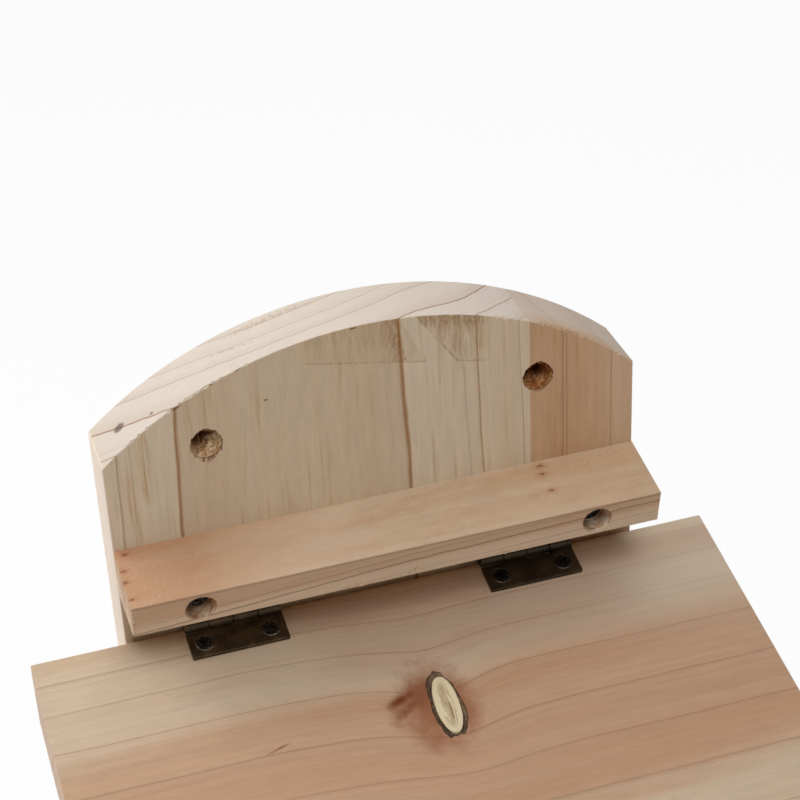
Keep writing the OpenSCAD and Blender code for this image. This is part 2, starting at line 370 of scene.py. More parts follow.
def wood_finish(name, board, look, bend=None, marks=None):
    """Solid wood. look holds pith, rings and colours; bend and marks are for what one board has alone."""
    look = {**PLAIN_LOOK, **look}
    f = Finish(name)
    g = f.graph
    space = board.space(g)
    if bend:
        space = bend(g, space)
    radius = ring_radius(g, space, look)
    if "second_stave" in look:
        radius = look["second_stave"](g, space, radius)
    late = late_wood(g, radius, look["rings"])
    along, across, depth = space
    broad = g.ripple(along * 0.006, across * 0.22, depth * 0.22, detail=3)
    fine = g.ripple(along * 0.07, across * 2.6, depth * 2.6, detail=3, roughness=0.6)
    fleck = g.noise(along * 0.4, across * 4.5, depth * 4.5)
    band = g.noise(along * 0.004, radius * 0.11, 0.0, detail=1)
    veins = g.ripple(along * 0.005, radius * 0.9, 3.0, detail=4, roughness=0.65)
    pores = g.ripple(along * 2.0, across * 4.0, depth * 4.0, detail=3)
    blotch = g.ripple(along * 0.1, across * 0.35, depth * 0.35, detail=4, roughness=0.6)

    warmth = g.step(band + broad * 0.6, 0.34, 0.68)
    if "warm_years" in look:
        year = radius + broad * 8 - along * look["slant"]
        newest, oldest = look["warm_years"]
        warmth = warmth * 0.25 + g.step(year, *newest) * g.step(year, *oldest) * 0.75
    face = g.mix(warmth, look["pale"], look["warm"])
    face = g.mix(late * look["line"], face, look["late"])
    face = g.mix(g.step(fleck, 0.66, 0.76) * 0.3, face, look["late"])
    end = g.mix(late * look["end_line"], look["end"], look["end_late"])
    across_cut = end_grain(g, board)
    along_cut = 1 - across_cut
    f.colour = g.mix(across_cut, face, end)
    shade = broad * 0.14 + veins * 0.24 + blotch * 0.2
    shade = 1.0 + shade * (0.35 + along_cut * 0.65)
    f.scale(shade + fine * along_cut * look["fibre"] + pores * 0.14)
    f.height = fine * 0.05 + late * 0.03 + pores * across_cut * 0.06
    if marks:
        marks(f, space)
    return f.done(0.62 + fine * 0.25 + across_cut * 0.12, ior=1.45, specular_level=0.2)


print("a plain board has", PLAIN_LOOK)

# %% [markdown]
# ## Eased edges
#
# A CAD edge is sharper than wood or sheet metal can be. Each board and leaf is therefore a copy of its
# solid whose loose triangles are merged and whose sharp edges get a small round from a Bevel modifier.
# A second material on the new faces lets a metal edge look worn. The solid itself stays in the frame,
# unseen, and the copy stands for it.

# %% Meshes
WELD = 0.001 * MM
SMOOTH = math.radians(21)


def add_object(name, mesh):
    made = bpy.data.objects.new(name, mesh)
    scene.collection.objects.link(made)
    return made


def settle(maker):
    """Turns what an object's modifiers make into its own plain mesh."""
    seen = maker.evaluated_get(bpy.context.evaluated_depsgraph_get())
    mesh = bpy.data.meshes.new_from_object(seen)
    maker.modifiers.clear()
    maker.data = mesh


def soften(mesh):
    """Shades curved faces smooth and keeps real edges."""
    mesh.shade_smooth()
    mesh.set_sharp_from_angle(angle=SMOOTH)


def welded(node):
    """An editable copy of a solid whose triangles hang together."""
    bm = bmesh.new()
    bm.from_mesh(solids[node].data)
    bmesh.ops.remove_doubles(bm, verts=bm.verts, dist=WELD)
    return bm


def connected(start, neighbours):
    """Everything that can be reached from a start by going from neighbour to neighbour."""
    found, todo = {start}, [start]
    while todo:
        for item in neighbours(todo.pop()):
            if item not in found:
                found.add(item)
                todo.append(item)
    return found


trial = welded("backboard")
print("the backboard's solid has", len(trial.verts), "points once it is welded")
trial.free()

# %% Copies with eased edges
FLAT = math.radians(0.5)
SHARP = math.radians(35)
EASE_STEPS = 2


def outline_edges(bm):
    """Sharp edges that hang together with the longest one, which leaves out the rims of holes."""
    sharp = {edge for edge in bm.edges if edge.is_manifold and edge.calc_face_angle() > SHARP}
    longest = max(sharp, key=lambda edge: edge.calc_length())

    def beside(edge):
        return [near for vert in edge.verts for near in vert.link_edges if near in sharp]

    return connected(longest, beside)


def eased_copy(node, name, ease_mm, materials):
    """A copy of a solid with its outline rounded; a second material goes on the rounds."""
    bm = welded(node)
    bmesh.ops.dissolve_limit(bm, angle_limit=FLAT, verts=bm.verts, edges=bm.edges)
    weight = bm.edges.layers.float.new("bevel_weight_edge")
    for edge in outline_edges(bm):
        edge[weight] = 1.0
    mesh = bpy.data.meshes.new(name)
    bm.to_mesh(mesh)
    bm.free()
    for material in materials:
        mesh.materials.append(material)
    piece = add_object(name, mesh)
    bevel = piece.modifiers.new("eased edges", "BEVEL")
    bevel.width = ease_mm * MM
    bevel.segments = EASE_STEPS
    bevel.limit_method = "WEIGHT"
    bevel.use_clamp_overlap = False
    bevel.material = len(materials) - 1
    settle(piece)
    soften(piece.data)
    return piece


def belongs(piece, body, slot, *stands_for):
    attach(piece, body)
    if stands_for:
        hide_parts(*stands_for)
    print(piece.name, "rides on", body, "with", len(piece.data.polygons), "faces")


print("edges over", round(math.degrees(SHARP)), "degrees are eased in", EASE_STEPS, "steps")

# %% [markdown]
# ## The backboard
#
# The arched board behind the box is two staves glued edge to edge: a wide pale one and a narrow redder
# one at the right. The lines on its face and the arcs on its arched top belong to the same rings, with
# the pith 68 mm behind the face. The radii of those rings were read where lines meet the arch, because
# rings drawn by chance would not fall on them. The second stave gets its own rings past the glue line.

# %% Backboard rings
ARCH_FOOT = 0.2861
GLUE_LINE = 41.5
SECOND_STAVE_RING = 97
SECOND_STAVE_START = 50.7
SECOND_STAVE_STEP = 0.746
LOPSIDED = 3.0
back_low, back_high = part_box("backboard")
back_board = Board((0, back_low.y, ARCH_FOOT), Z, X, Y)


def beyond_glue(g, across):
    return g.step(across, GLUE_LINE - 0.1, GLUE_LINE + 0.1)


def second_stave_rings(g, space, radius):
    """The trunk grew a little lopsided to the right, and the second stave has rings of its own."""
    along, across, depth = space
    radius = radius - g.step(across, 10, 28) * LOPSIDED
    radius = radius + g.step(radius, 66, 71) * g.step(across, -38, -50) * depth * 0.18
    other = SECOND_STAVE_RING + (across - SECOND_STAVE_START + depth * 0.3) * SECOND_STAVE_STEP
    return radius + beyond_glue(g, across) * (other - radius)


back_look = {
    "pith": (-21.8, 67.9),
    "taper": 0.013,
    "sway": 1.3,
    "rings": [
        (49.0, 0.3, 0.6), (53.5, 0.3, 0.6), (59.2, 0.3, 0.5), (64.4, 0.3, 0.7), (74.1, 0.48, 1.0),
        (79.4, 0.25, 0.25), (81.2, 0.3, 0.95), (88.4, 0.26, 0.7), (97.0, 0.45, 0.45), (97.8, 0.4, 0.4),
        (107.0, 0.35, 0.7),
    ],
    "second_stave": second_stave_rings,
    "pale": paint(238, 219, 192),
    "warm": paint(229, 206, 175),
    "late": paint(158, 100, 36),
    "end": paint(225, 212, 198),
    "end_late": paint(150, 92, 50),
    "line": 0.9,
    "end_line": 0.9,
    "fibre": 0.2,
}
plank = (back_high.y - back_low.y) / MM
print("the backboard has", len(back_look["rings"]), "rings and is", round(plank, 1), "mm thick")

# %% [markdown]
# Near the top a strip of tape has left a brownish film with a slanting end, streaky smudges, and dirt
# caught along its edges. It lies on the face alone. A painted picture would do for one view, but a few
# slanting limits, made ragged by noise, keep it sharp from near by.

# %% Tape stain
STAIN_FOOT = 14.9
STAIN_TILT = 0.195
STAIN_SEAM = 10.6
END_SLANT = 0.691


def tape_stain(f, along, across):
    g, step = f.graph, f.graph.step
    wobble = g.ripple(along * 0.5, across * 0.5, 0.0, detail=3)
    lift = along + across * STAIN_TILT - STAIN_FOOT + wobble * 0.3
    past_end = across + along * END_SLANT
    left = step(across + wobble, -18.5, -16.0) * step(across + along * 0.484 + wobble, 20.6, 19.8)
    right = step(past_end + wobble, 28.9, 29.8) * step(across + wobble, 31.5, 28.0)
    tape = (left + right) * step(lift, -0.25, 0.25)
    f.tint(tape * 0.08, 176, 128, 56)
    streaks = g.noise(along * 0.16, across * 0.8, 2.0, detail=5, roughness=0.65)
    smudge = step(streaks + lift * 0.012, 0.48, 0.74) * (left * 0.22 + right * 0.36)
    f.tint(tape * smudge, 164, 108, 26)
    beside = across + along * 0.17 - STAIN_SEAM
    seam = step(beside, -5.0, -1.0) * step(beside, 1.0, 0.2)
    upper = right * step(lift, 8.5, 12.0)
    slant = step((past_end - 29.6).math("ABSOLUTE"), 0.7, 0.1) * step(along, 20.0, 15.0)
    foot = step(lift.math("ABSOLUTE"), 0.6, 0.1)
    caught = seam.math("MAXIMUM", upper).math("MAXIMUM", slant).math("MAXIMUM", foot)
    dirt = g.noise(along * 0.5, across * 1.3, 4.0, detail=4, roughness=0.7)
    f.tint(tape * caught * step(dirt, 0.36, 0.62) * 0.5, 142, 88, 14)


print("the tape lay", STAIN_FOOT, "mm above the foot of the arch")

# %% [markdown]
# Wood that has been handled and sawn has small marks: golden smears, dark specks, a rubbed edge, a line
# left by the saw. Each is an oval or a band with a strength of its own, listed by its place on the
# board. Round the two hanging holes the broken wood shows its splinters, laid darker in the chips as
# painted shade.

# %% Backboard marks
hanging = next(mount for mount in frame["record"]["mounts"] if mount["name"] == "hanging_holes")
hang_radius = hanging["dims"]["hole_r_mm"] * MM
hang_left, hang_right = (
    Vector(hanging["pos_m"]) + X * side * hanging["dims"]["spacing_x_mm"] / 2 * MM for side in (-1, 1)
)
FACE_SPECKS = [
    (-27.8, 10.6, 0.7, 0.35, -0.3), (-49.9, 13.5, 1.9, 0.4, 0.49), (-40.9, 18.0, 0.9, 0.3, 0.4),
    (-34.2, 20.7, 1.1, 0.3, 0.33), (-4.5, 25.9, 1.2, 0.35, 0.04),
]
GOLDEN_SMEARS = [(-59.6, -1.0, 2.2, 15.0), (-63.8, -12.0, 1.6, 16.0)]
ARCH_SPECKS = [(-63.4, 8.9, 1.7, 1.8), (-55.6, 4.2, 0.5, 0.6)]
print("hanging holes of", round(hang_radius / MM, 2), "mm radius,", len(FACE_SPECKS), "specks on the face")


# %% Marks on the face
def oval(g, x, y, reach_x, reach_y, turn=0.0):
    """Distance from the middle of an oval, 1 at its edge, from x and y in millimetres."""
    aside = x * math.cos(turn) + y * math.sin(turn)
    below = y * math.cos(turn) - x * math.sin(turn)
    return g.reach(aside / reach_x, below / reach_y)


def spot(g, *place):
    """1 in the middle of an oval, 0 outside it."""
    return g.step(oval(g, *place), 1.0, 0.5)


def face_marks(f, space, end):
    """Marks on the long grain; end is 1 on end grain."""
    along, across, depth = space
    g, step, face = f.graph, f.graph.step, 1 - end
    streak = g.noise(along * 0.03, across * 0.45, depth * 0.45, detail=4, roughness=0.6)
    f.tint(step(streak, 0.54, 0.76) * 0.5 * face, 190, 148, 84)
    thread = g.noise(along * 0.05, across * 1.6, depth * 1.6, detail=4, roughness=0.65)
    for x, z, *reach in GOLDEN_SMEARS:
        near = spot(g, across - x + (streak - 0.5) * 3, along - z, *reach)
        f.tint(near * step(thread, 0.4, 0.62) * face * 0.5, 190, 134, 40)
    bright = step(across, -60, -68) * 0.32 + step(across, 24, 30) * step(across, 41, 39) * 0.25
    f.tint((bright + step(across, 58, 66) * 0.2) * face, 250, 230, 202)
    unstained = f.colour
    tape_stain(f, along, across)
    f.colour = g.mix(step(depth, 0.4, 0.1) * face, unstained, f.colour)


print("the longest golden smear reaches", max(smear[3] for smear in GOLDEN_SMEARS), "mm")


# %% Marks on the arch
def arch_marks(f, space, arch, grain):
    """Marks on the arched end grain, where arch is 1; grain is the noise of broken wood."""
    _, across, depth = space
    g, step = f.graph, f.graph.step
    ragged = (grain - 0.5) * 0.9
    for x, deep, *reach in ARCH_SPECKS:
        near = spot(g, across - x + ragged, depth - deep + ragged, *reach)
        f.tint(near * arch * 0.8, 92, 76, 66)
    rubbed = step(across, 36, 48) * step(across, 70, 60) * step(depth, 8, 0.5)
    f.tint(rubbed * arch * 0.5, 200, 154, 102)
    crumbs = step(across, 43, 47) * step(across, 62, 56) * step(depth, 2.6, 0.2)
    f.tint(crumbs * step(grain, 0.47, 0.55) * arch * 0.65, 158, 108, 66)
    sawn = spot(g, across + 22.0, depth - 15.8 - (across + 22.0) * 0.05, 15.0, 1.6)
    f.tint(sawn * step(grain, 0.4, 0.6) * arch * 0.4, 176, 140, 100)
    dash_line = spot(g, across + 33.0, depth - 9.6 + (across + 33.0) * 0.25, 8.0, 0.35)
    broken = g.noise(across * 1.3, depth * 3.0, 7.0, detail=2)
    f.tint(dash_line * step(broken, 0.5, 0.58) * arch * 0.7, 120, 84, 58)


print("the arch has", len(ARCH_SPECKS), "specks")

# %% Backboard in place
SPLINTER_REACH = 10


def back_marks(f, space):
    along, across, depth = space
    g, step = f.graph, f.graph.step
    end = end_grain(g, back_board)
    stave = beyond_glue(g, across)
    f.glaze(stave, g.mix(end, (0.85, 0.67, 0.56, 1), (0.94, 0.89, 0.86, 1)))
    face_marks(f, space, end)
    f.tint(end * stave * 0.5, 212, 194, 178)
    # The side faces are laid paler, and the left one, which faces the window, paler still as painted light.
    edge = step(across, -69.5, -69.8) * 0.75 + step(across, 69.5, 69.8) * 0.35
    f.tint(edge, 252, 234, 219)
    grain = g.noise(along * 1.2, across * 1.2, depth * 1.2, detail=3)
    splinters_in_shade = g.mix(step(grain, 0.42, 0.58), paint(116, 76, 42), paint(206, 164, 122))
    for hole in (hang_left, hang_right):
        up, aside, _ = back_board.local(hole)
        chipped = spot(g, across - aside, along - up, SPLINTER_REACH, SPLINTER_REACH)
        # Splinter colours with painted shade: the surfaces cut below the face round each hole are darkened.
        f.colour = g.mix(chipped * step(depth, 0.02, 0.2) * 0.8, f.colour, splinters_in_shade)
    ragged = (grain - 0.5) * 0.9
    for x, z, *oval_sizes in FACE_SPECKS:
        near = spot(g, across - x + ragged, along - z + ragged, *oval_sizes)
        f.tint(near * (1 - end) * 0.8, 104, 72, 46)
    arch_marks(f, space, end * step(along, -60, -50), grain)


back_wood = wood_finish("back wood", back_board, back_look, marks=back_marks)
backboard = eased_copy("backboard", "backboard_plank", 0.25, [back_wood])
belongs(backboard, "box", "back_wood", "backboard")

# %% [markdown]
# ## The lid
#
# The lid is one wide board with the grain from side to side. Its rings run nearly parallel to the
# surface, drift a little towards the front from left to right, and swell round a branch that the tree
# grew over. The swelling could be painted line by line, but here space itself is bent before the rings
# are drawn, so all of them bend alike. The board's slope is read from its solid.

# %% Lid rings
LEAST_UP = 0.9
KNOT_AT = (5.2, 42.3)


def top_board(node):
    """Axes on the sloping top of a board whose grain runs from side to side, from its rear edge on."""
    mesh = solids[node].data
    faces = [face for face in mesh.polygons if face.normal.z > LEAST_UP]
    normal = max(faces, key=lambda face: face.area).normal.copy()
    rear = max((mesh.vertices[i].co for face in faces for i in face.vertices), key=lambda corner: corner.y)
    low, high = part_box(node)
    print(node, "slopes", round(math.degrees(math.atan2(-normal.y, normal.z)), 2), "degrees")
    return Board(((low.x + high.x) / 2, rear.y, rear.z), X, (0, -normal.z, normal.y), -normal)


def lid_bend(g, space):
    along, across, depth = space
    drift = g.step(along, -45, 10) * 3.3 + along * 0.006
    aside, below = (along - KNOT_AT[0]) / 13, (across - KNOT_AT[1]) / 24
    swell = (aside * aside + below * below).math("MULTIPLY", -1.0).math("EXPONENT") * 4.4
    return [along, across - drift - swell, depth]


lid_board = top_board("roof")
lid_look = {
    "pith": (130, 60),
    "sway": 1.4,
    "rings": [
        (43.0, 0.4, 0.6), (49.5, 0.4, 0.6), (56.0, 0.5, 0.6), (61.0, 0.4, 0.5), (64.5, 0.5, 0.7),
        (72.0, 0.4, 0.6), (82.5, 0.5, 0.7), (93.0, 0.45, 0.7), (104.0, 0.4, 0.85), (113.8, 0.3, 0.35),
        (116.2, 0.4, 0.85), (124.6, 0.3, 0.25), (127.0, 0.4, 0.7), (134.0, 0.3, 0.3), (135.9, 0.4, 0.8),
        (143.4, 0.4, 0.6), (151.0, 0.4, 0.4),
    ],
    "pale": paint(210, 189, 163),
    "warm": paint(193, 152, 121),
    "late": paint(132, 84, 54),
    "end": paint(226, 197, 174),
    "end_late": paint(166, 118, 92),
    "line": 0.52,
    "warm_years": ((122, 112), (71, 83)),
    "slant": 0.07,
}

# %% [markdown]
# Resin from the dead branch has stained the wood round it red-brown, and a few smears lie beside it. The
# lid has painted shade between the hinges and along its rear, where the batten shades it, and painted
# light towards the right rear. These marks use the straight space, so that the bend of the rings does not
# pull them out of place.

# %% Lid in place
KNOT_SMEARS = [
    (-1.5, 38.4, 8.5, 5.0, 0.45), (-6.2, 37.9, 3.6, 1.5, 0.95), (-5.2, 41.8, 3.2, 1.7, 0.5),
    (-39.4, 43.7, 3.2, 0.5, 0.7),
]


def lid_marks(f, bent_space):
    g, step = f.graph, f.graph.step
    along, across, depth = lid_board.space(g)
    cloud = g.ripple(along * 0.16, across * 0.16, depth * 0.16, detail=4, roughness=0.6)
    # Painted light: the right rear of the lid is laid paler, where the backboard shades it less.
    f.tint(step(along, 20, 88) * step(across, 46, 22) * 0.4, 226, 210, 188)
    # Painted shade: the lid is darkened between the hinges and along its rear, where the batten and hinges
    # shade it.
    middle = step(along, 72, 50) * step(across, 34, 24)
    batten_hinge_shade = step(along, -30, -10) * middle.math("MAXIMUM", step(across, 16, 8)) * step(across, 1.5, 5.0)
    f.glaze(batten_hinge_shade, (0.91, 0.85, 0.84, 1))
    halo = oval(g, along - KNOT_AT[0] + 2.6, across - KNOT_AT[1], 10.5, 14.5)
    f.tint(step(halo + cloud * 1.1, 1.3, 0.4) * 0.8, 148, 88, 56)
    for x, down, long, wide, strength in KNOT_SMEARS:
        far = oval(g, along - x, across - down + (along - x) * 0.3, long, wide)
        f.tint(step(far + cloud * 1.8, 1.3, 0.2) * strength, 112, 50, 14)


lid_wood = wood_finish("lid wood", lid_board, lid_look, bend=lid_bend, marks=lid_marks)
lid = eased_copy("roof", "lid_board", 0.3, [lid_wood])
belongs(lid, "lid", "roof_wood", "roof")

# %% [markdown]
# ## The batten
#
# A strip of pinker wood keeps rain off the hinges. Its rings lie nearly flat, so the top is plain with a
# soft figure, and the front edge shows three of them as lines that climb to the right. Two screws sit in
# deep counterbores in that edge. Their places come from the screws' own solids and the slope of the edge.

# %% Places of the counterbores
HEAD_HALF = 3.4 * MM
batten_board = top_board("batten")
batten_down, batten_up = batten_board.axes[1], -batten_board.axes[2]
batten_tilt = -batten_up.y / batten_up.z

corners = [batten_board.local(vert.co) for vert in solids["batten"].data.vertices]
front_across = max(across for along, across, depth in corners)
front_deep = max(depth for along, across, depth in corners if across > front_across - 1)
front_edge = batten_board.point(0, front_across, 0)
screws_low, screws_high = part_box("batten_screws")
bore_z = (screws_low.z + screws_high.z) / 2
bore_y = front_edge.y - (bore_z - front_edge.z) * batten_down.z / batten_down.y
bore_left = Vector((screws_low.x + HEAD_HALF, bore_y, bore_z))
bore_right = Vector((screws_high.x - HEAD_HALF, bore_y, bore_z))
print("counterbores open at y", round(bore_y / MM, 2), "mm")

# %% Batten rings
batten_look = {
    "pith": (16, 90),
    "sway": 0.8,
    "rings": [(77.4, 0.5, 0.4), (80.2, 0.5, 0.3), (85.35, 0.9, 0.6)],
    "pale": paint(218, 195, 168),
    "warm": paint(205, 171, 138),
    "late": paint(122, 82, 54),
    "end": paint(230, 208, 186),
    "end_late": paint(166, 120, 92),
    "line": 0.8,
}


def batten_bend(g, space):
    """The rings climb towards the right end, and faster in the left half."""
    along, across, depth = space
    left = (along * -1).math("MAXIMUM", 0.0)
    return [along, across, depth + along * 0.03 - left * 0.04]


print("the batten's rings lie", [ring[0] for ring in batten_look["rings"]], "mm from the pith")

# %% [markdown]
# The saw has left slanting strokes on the top and a paler, veined front, and pin knots no wider than a
# match sit in two rows where the twigs were. The marks use straight space, because they came later than
# the rings, which climb towards the right.

# %% Batten front
FRONT_RINGS = [(4.75, 0.45), (2.5, 0.2), (8.6, 0.15)]


def batten_front(f, front, along, depth, ring_depth):
    """The veined front edge; depth is straight, ring_depth follows the rings."""
    g, step = f.graph, f.graph.step
    tone_depth = depth * 0.75 + ring_depth * 0.25
    f.tint(front * step(tone_depth, 5.4, 4.2) * 0.22, 186, 142, 104)
    f.tint(front * step(tone_depth, 4.8, 6.4) * 0.5, 246, 228, 202)
    f.tint(front * step(depth, 1.1, 0.5) * 0.3, 126, 92, 66)
    wander = g.ripple(along * 0.14, 3.0, 0.0, detail=5, roughness=0.6) * 1.1
    for ring, strength in FRONT_RINGS:
        line = step((ring_depth - ring + wander).math("ABSOLUTE"), 0.42, 0.1)
        f.tint(front * line * strength, 112, 74, 48)


print("the front edge shows", len(FRONT_RINGS), "lines")

# %% Batten in place
PIN_KNOTS = [
    (-67.6, 1.9, 1.1), (-69.2, 7.5, 0.8), (-69.4, 11.2, 0.8), (-69.0, 17.2, 0.7),
    (43.2, 2.1, 1.0), (42.7, 5.1, 0.8), (43.1, 11.4, 0.8),
]


def batten_marks(f, bent_space):
    g, step = f.graph, f.graph.step
    along, across, depth = batten_board.space(g)
    ring_depth = bent_space[2]
    on_top = step(depth, 0.3, 0.1)
    front = 1 - on_top
    f.tint(step(along, 10, -60) * 0.6, 190, 138, 98)
    mottle = g.noise(along * 0.11, across * 0.2, depth * 0.2 + 5.0, detail=5, roughness=0.6)
    f.tint(step(mottle, 0.46, 0.72) * 0.22, 186, 130, 90)
    f.tint(front * 0.68, 240, 212, 182)
    centre = front * 0.22 + on_top * step(along, 0, -15) * 0.14
    f.tint(step(along, -55, -35) * step(along, 50, 25) * centre, 252, 232, 208)
    batten_front(f, front, along, depth, ring_depth)
    vein = g.ripple(along * 0.03, ring_depth * 1.7, across * 0.3, detail=4, roughness=0.65)
    f.scale(1 + vein * front * 0.4)

    stroke = g.noise((along - across) * 0.22, (along + across) * 2.0, 1.0, detail=2)
    sawn = on_top * step(g.noise(along * 0.04, across * 0.1, 9.0), 0.42, 0.6)
    f.tint(step(stroke, 0.56, 0.72) * sawn * 0.2, 238, 212, 184)
    f.tint(step(stroke, 0.42, 0.28) * sawn * 0.22, 150, 100, 66)
    f.height = f.height + (stroke - 0.5) * sawn * 0.12
    for bore in (bore_left, bore_right):
        at, over, deep = batten_board.local(bore)
        aside, below = along - at, depth - deep + (across - over) * batten_tilt
        in_bore = step(g.reach(aside, below), 4.3, 4.0)
        # Painted shade: the left side of each counterbore is darkened.
        f.tint(in_bore * step(aside, 0.5, -3.0) * 0.6, 140, 96, 58)
    ragged = g.ripple(along * 0.9, across * 0.9, depth * 0.9, detail=3) * 1.6
    for place, down, size in PIN_KNOTS:
        reach = oval(g, along - place, across - down, size * 1.7, size) + ragged
        f.tint(step(reach, 2.2, 0.6) * 0.3, 186, 116, 82)
        f.tint(step(reach, 0.8, 0.2) * 0.65, 124, 66, 38)


batten_wood = wood_finish("batten wood", batten_board, batten_look, bend=batten_bend, marks=batten_marks)
batten = eased_copy("batten", "batten_strip", 0.25, [batten_wood])
belongs(batten, "box", "batten_wood", "batten")

# %% [markdown]
# ## Walls and floor
#
# The walls stand with their grain upright, as water runs off best, and the floor lies with its grain
# from side to side. Each board comes from another part of the trunk, so each has its own pith and its
# own rings from its own seed.

# %% Walls and floor
wall_colours = {
    "pale": paint(220, 201, 173),
    "warm": paint(210, 181, 148),
    "late": paint(140, 95, 60),
    "end": paint(236, 219, 195),
    "end_late": paint(172, 124, 92),
    "line": 0.65,
}
WALLS = {
    "front_panel": ("front_board", Z, X, Y, (14, 50), 5),
    "left_side": ("left_board", Z, -Y, X, (-22, 58), 8),
    "right_side": ("right_board", Z, Y, -X, (30, 66), 13),
    "floor": ("floor_board", X, Y, Z, (-10, 54), 21),
}
for node, (name, grain, across, into, pith, seed) in WALLS.items():
    low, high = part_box(node)
    board = Board((low + high) / 2, grain, across, into)
    nearest = pith[1] - 12
    look = {**wall_colours, "pith": pith, "rings": growth(nearest, 8.0, 12, seed)}
    finish = wood_finish(name.replace("_", " ") + " wood", board, look)
    belongs(eased_copy(node, name, 0.3, [finish]), "box", "wall_wood", node)

# %% [markdown]
# ## Hinges
#
# Small butt hinges are pressed from sheet and rolled round a pin, then plated to look like old bronze.
# The plating is nearly black and a little green, and it rubs through to brown on every edge. The Bevel
# modifier gives those edges a material of their own.

# %% Hinges in place
def bronze_finish(name, dark, light, roughness):
    f = Finish(name)
    g = f.graph
    x, y, z = whole_box.space(g)
    cloud = g.noise(x * 0.25, y * 0.25, z * 0.25, detail=4)
    grit = g.noise(x * 5, y * 5, z * 5, detail=2)
    f.colour = g.mix(g.step(cloud + (grit - 0.5) * 0.4, 0.35, 0.7), dark, light)
    # Painted shade: the right hinge is darkened, as it lies in the batten's shadow.
    f.scale(1 - g.step(x, 0, 20) * 0.48)
    f.height = grit * 0.012
    return f.done(roughness + (cloud - 0.5) * 0.3, metallic=0.55)


bronze = bronze_finish("dark bronze", paint(60, 47, 29), paint(88, 70, 45), 0.5)
worn_bronze = bronze_finish("worn bronze", paint(74, 58, 38), paint(108, 86, 58), 0.42)
for hand in ("left", "right"):
    for node, body in (("hinge_back_leaf", "box"), ("hinge_roof_leaf", "lid"), ("hinge_pin", "box")):
        solid = f"{hand}_{node}"
        belongs(eased_copy(solid, solid + "_bronze", 0.08, [bronze, worn_bronze]), body, "dark_bronze", solid)

# %% [markdown]
# ## Screws
#
# All the screws are one shape in three sizes, so one Geometry Nodes tree turns them. A grid is bent
# into a lathe: its width goes round the axis and each of its rows becomes one ring of the screw. The
# tree then sets a copy at every place that the solids give. These helpers are what every tree below
# needs: a tree with inputs, the lathe, a turn that follows each point, and a way to run the tree.

# %% Geometry trees
MERGE = 0.002 * MM


def geometry_tree(name, inputs):
    """(graph, {input name: wire}) of a new tree; inputs are {name: socket type}."""
    tree = bpy.data.node_groups.new(name, "GeometryNodeTree")
    tree.interface.new_socket("Geometry", in_out="OUTPUT", socket_type="NodeSocketGeometry")
    for label, kind in {"Geometry": "Geometry", **inputs}.items():
        tree.interface.new_socket(label, in_out="INPUT", socket_type="NodeSocket" + kind)
    g = Graph(tree)
    entry = g.node("NodeGroupInput")
    return g, {label: entry.out(label) for label in ("Geometry", *inputs)}


def end_tree(g, given, shape, rotation, scale=(1, 1, 1)):
    """Sets a copy of the shape at each point, makes it real, gives it the material and ends the tree."""
    sockets = {"Points": given["Geometry"], "Instance": shape, "Rotation": rotation, "Scale": scale}
    copies = g.node("GeometryNodeInstanceOnPoints", None, sockets)
    solid = g.node("GeometryNodeRealizeInstances", None, {0: copies})
    solid = g.node("GeometryNodeSetMaterial", None, {"Geometry": solid, "Material": given["Material"]})
    exit_node = g.tree.nodes.new("NodeGroupOutput")
    g.tree.links.new(solid.socket, exit_node.inputs[0])
    print("the tree of the", g.tree.name, "has", len(g.tree.nodes), "nodes")


def lathe(g, around, rows):
    """(grid, angle, row number): a grid whose two directions go round an axis and along it."""
    sockets = {"Size X": 1.0, "Size Y": 1.0, "Vertices X": around + 1, "Vertices Y": rows}
    grid = g.node("GeometryNodeMeshGrid", None, sockets, "Mesh")
    place = g.node("ShaderNodeSeparateXYZ", None, {0: g.node("GeometryNodeInputPosition")})
    angle = (place.out("X") + 0.5) * math.tau
    row = ((place.out("Y") + 0.5) * (rows - 1)).math("ROUND")
    return grid, angle, row


def turn_on_lathe(g, grid, angle, radius, height):
    place = g.combine(radius * angle.math("COSINE"), radius * angle.math("SINE"), height)
    bent = g.node("GeometryNodeSetPosition", None, {"Geometry": grid, "Position": place})
    return g.node("GeometryNodeMergeByDistance", None, {"Geometry": bent, "Distance": MERGE})


def read_point(g, name, kind):
    """A number or a direction that was stored with each point."""
    return g.node("GeometryNodeInputNamedAttribute", {"data_type": kind}, {"Name": name})


def facing_out(g):
    """Rotation that turns Z to each point's own outward direction."""
    outward = read_point(g, "outward", "FLOAT_VECTOR")
    return g.node("FunctionNodeAlignRotationToVector", {"axis": "Z"}, {"Vector": outward})


def spun(g, rotation, seed):
    """A rotation with a further turn about its own Z, drawn by chance for each point."""
    sockets = {2: 0.0, 3: math.tau, "Seed": seed + 1}
    angle = g.node("FunctionNodeRandomValue", {"data_type": "FLOAT"}, sockets, 1)
    turn = g.node("FunctionNodeAxisAngleToRotation", None, {"Axis": (0, 0, 1), "Angle": angle})
    sockets = {"Rotation": rotation, "Rotate By": turn}
    return g.node("FunctionNodeRotateRotation", {"rotation_space": "LOCAL"}, sockets)


print("points closer than", round(MERGE / MM, 3), "mm are merged on the lathe")


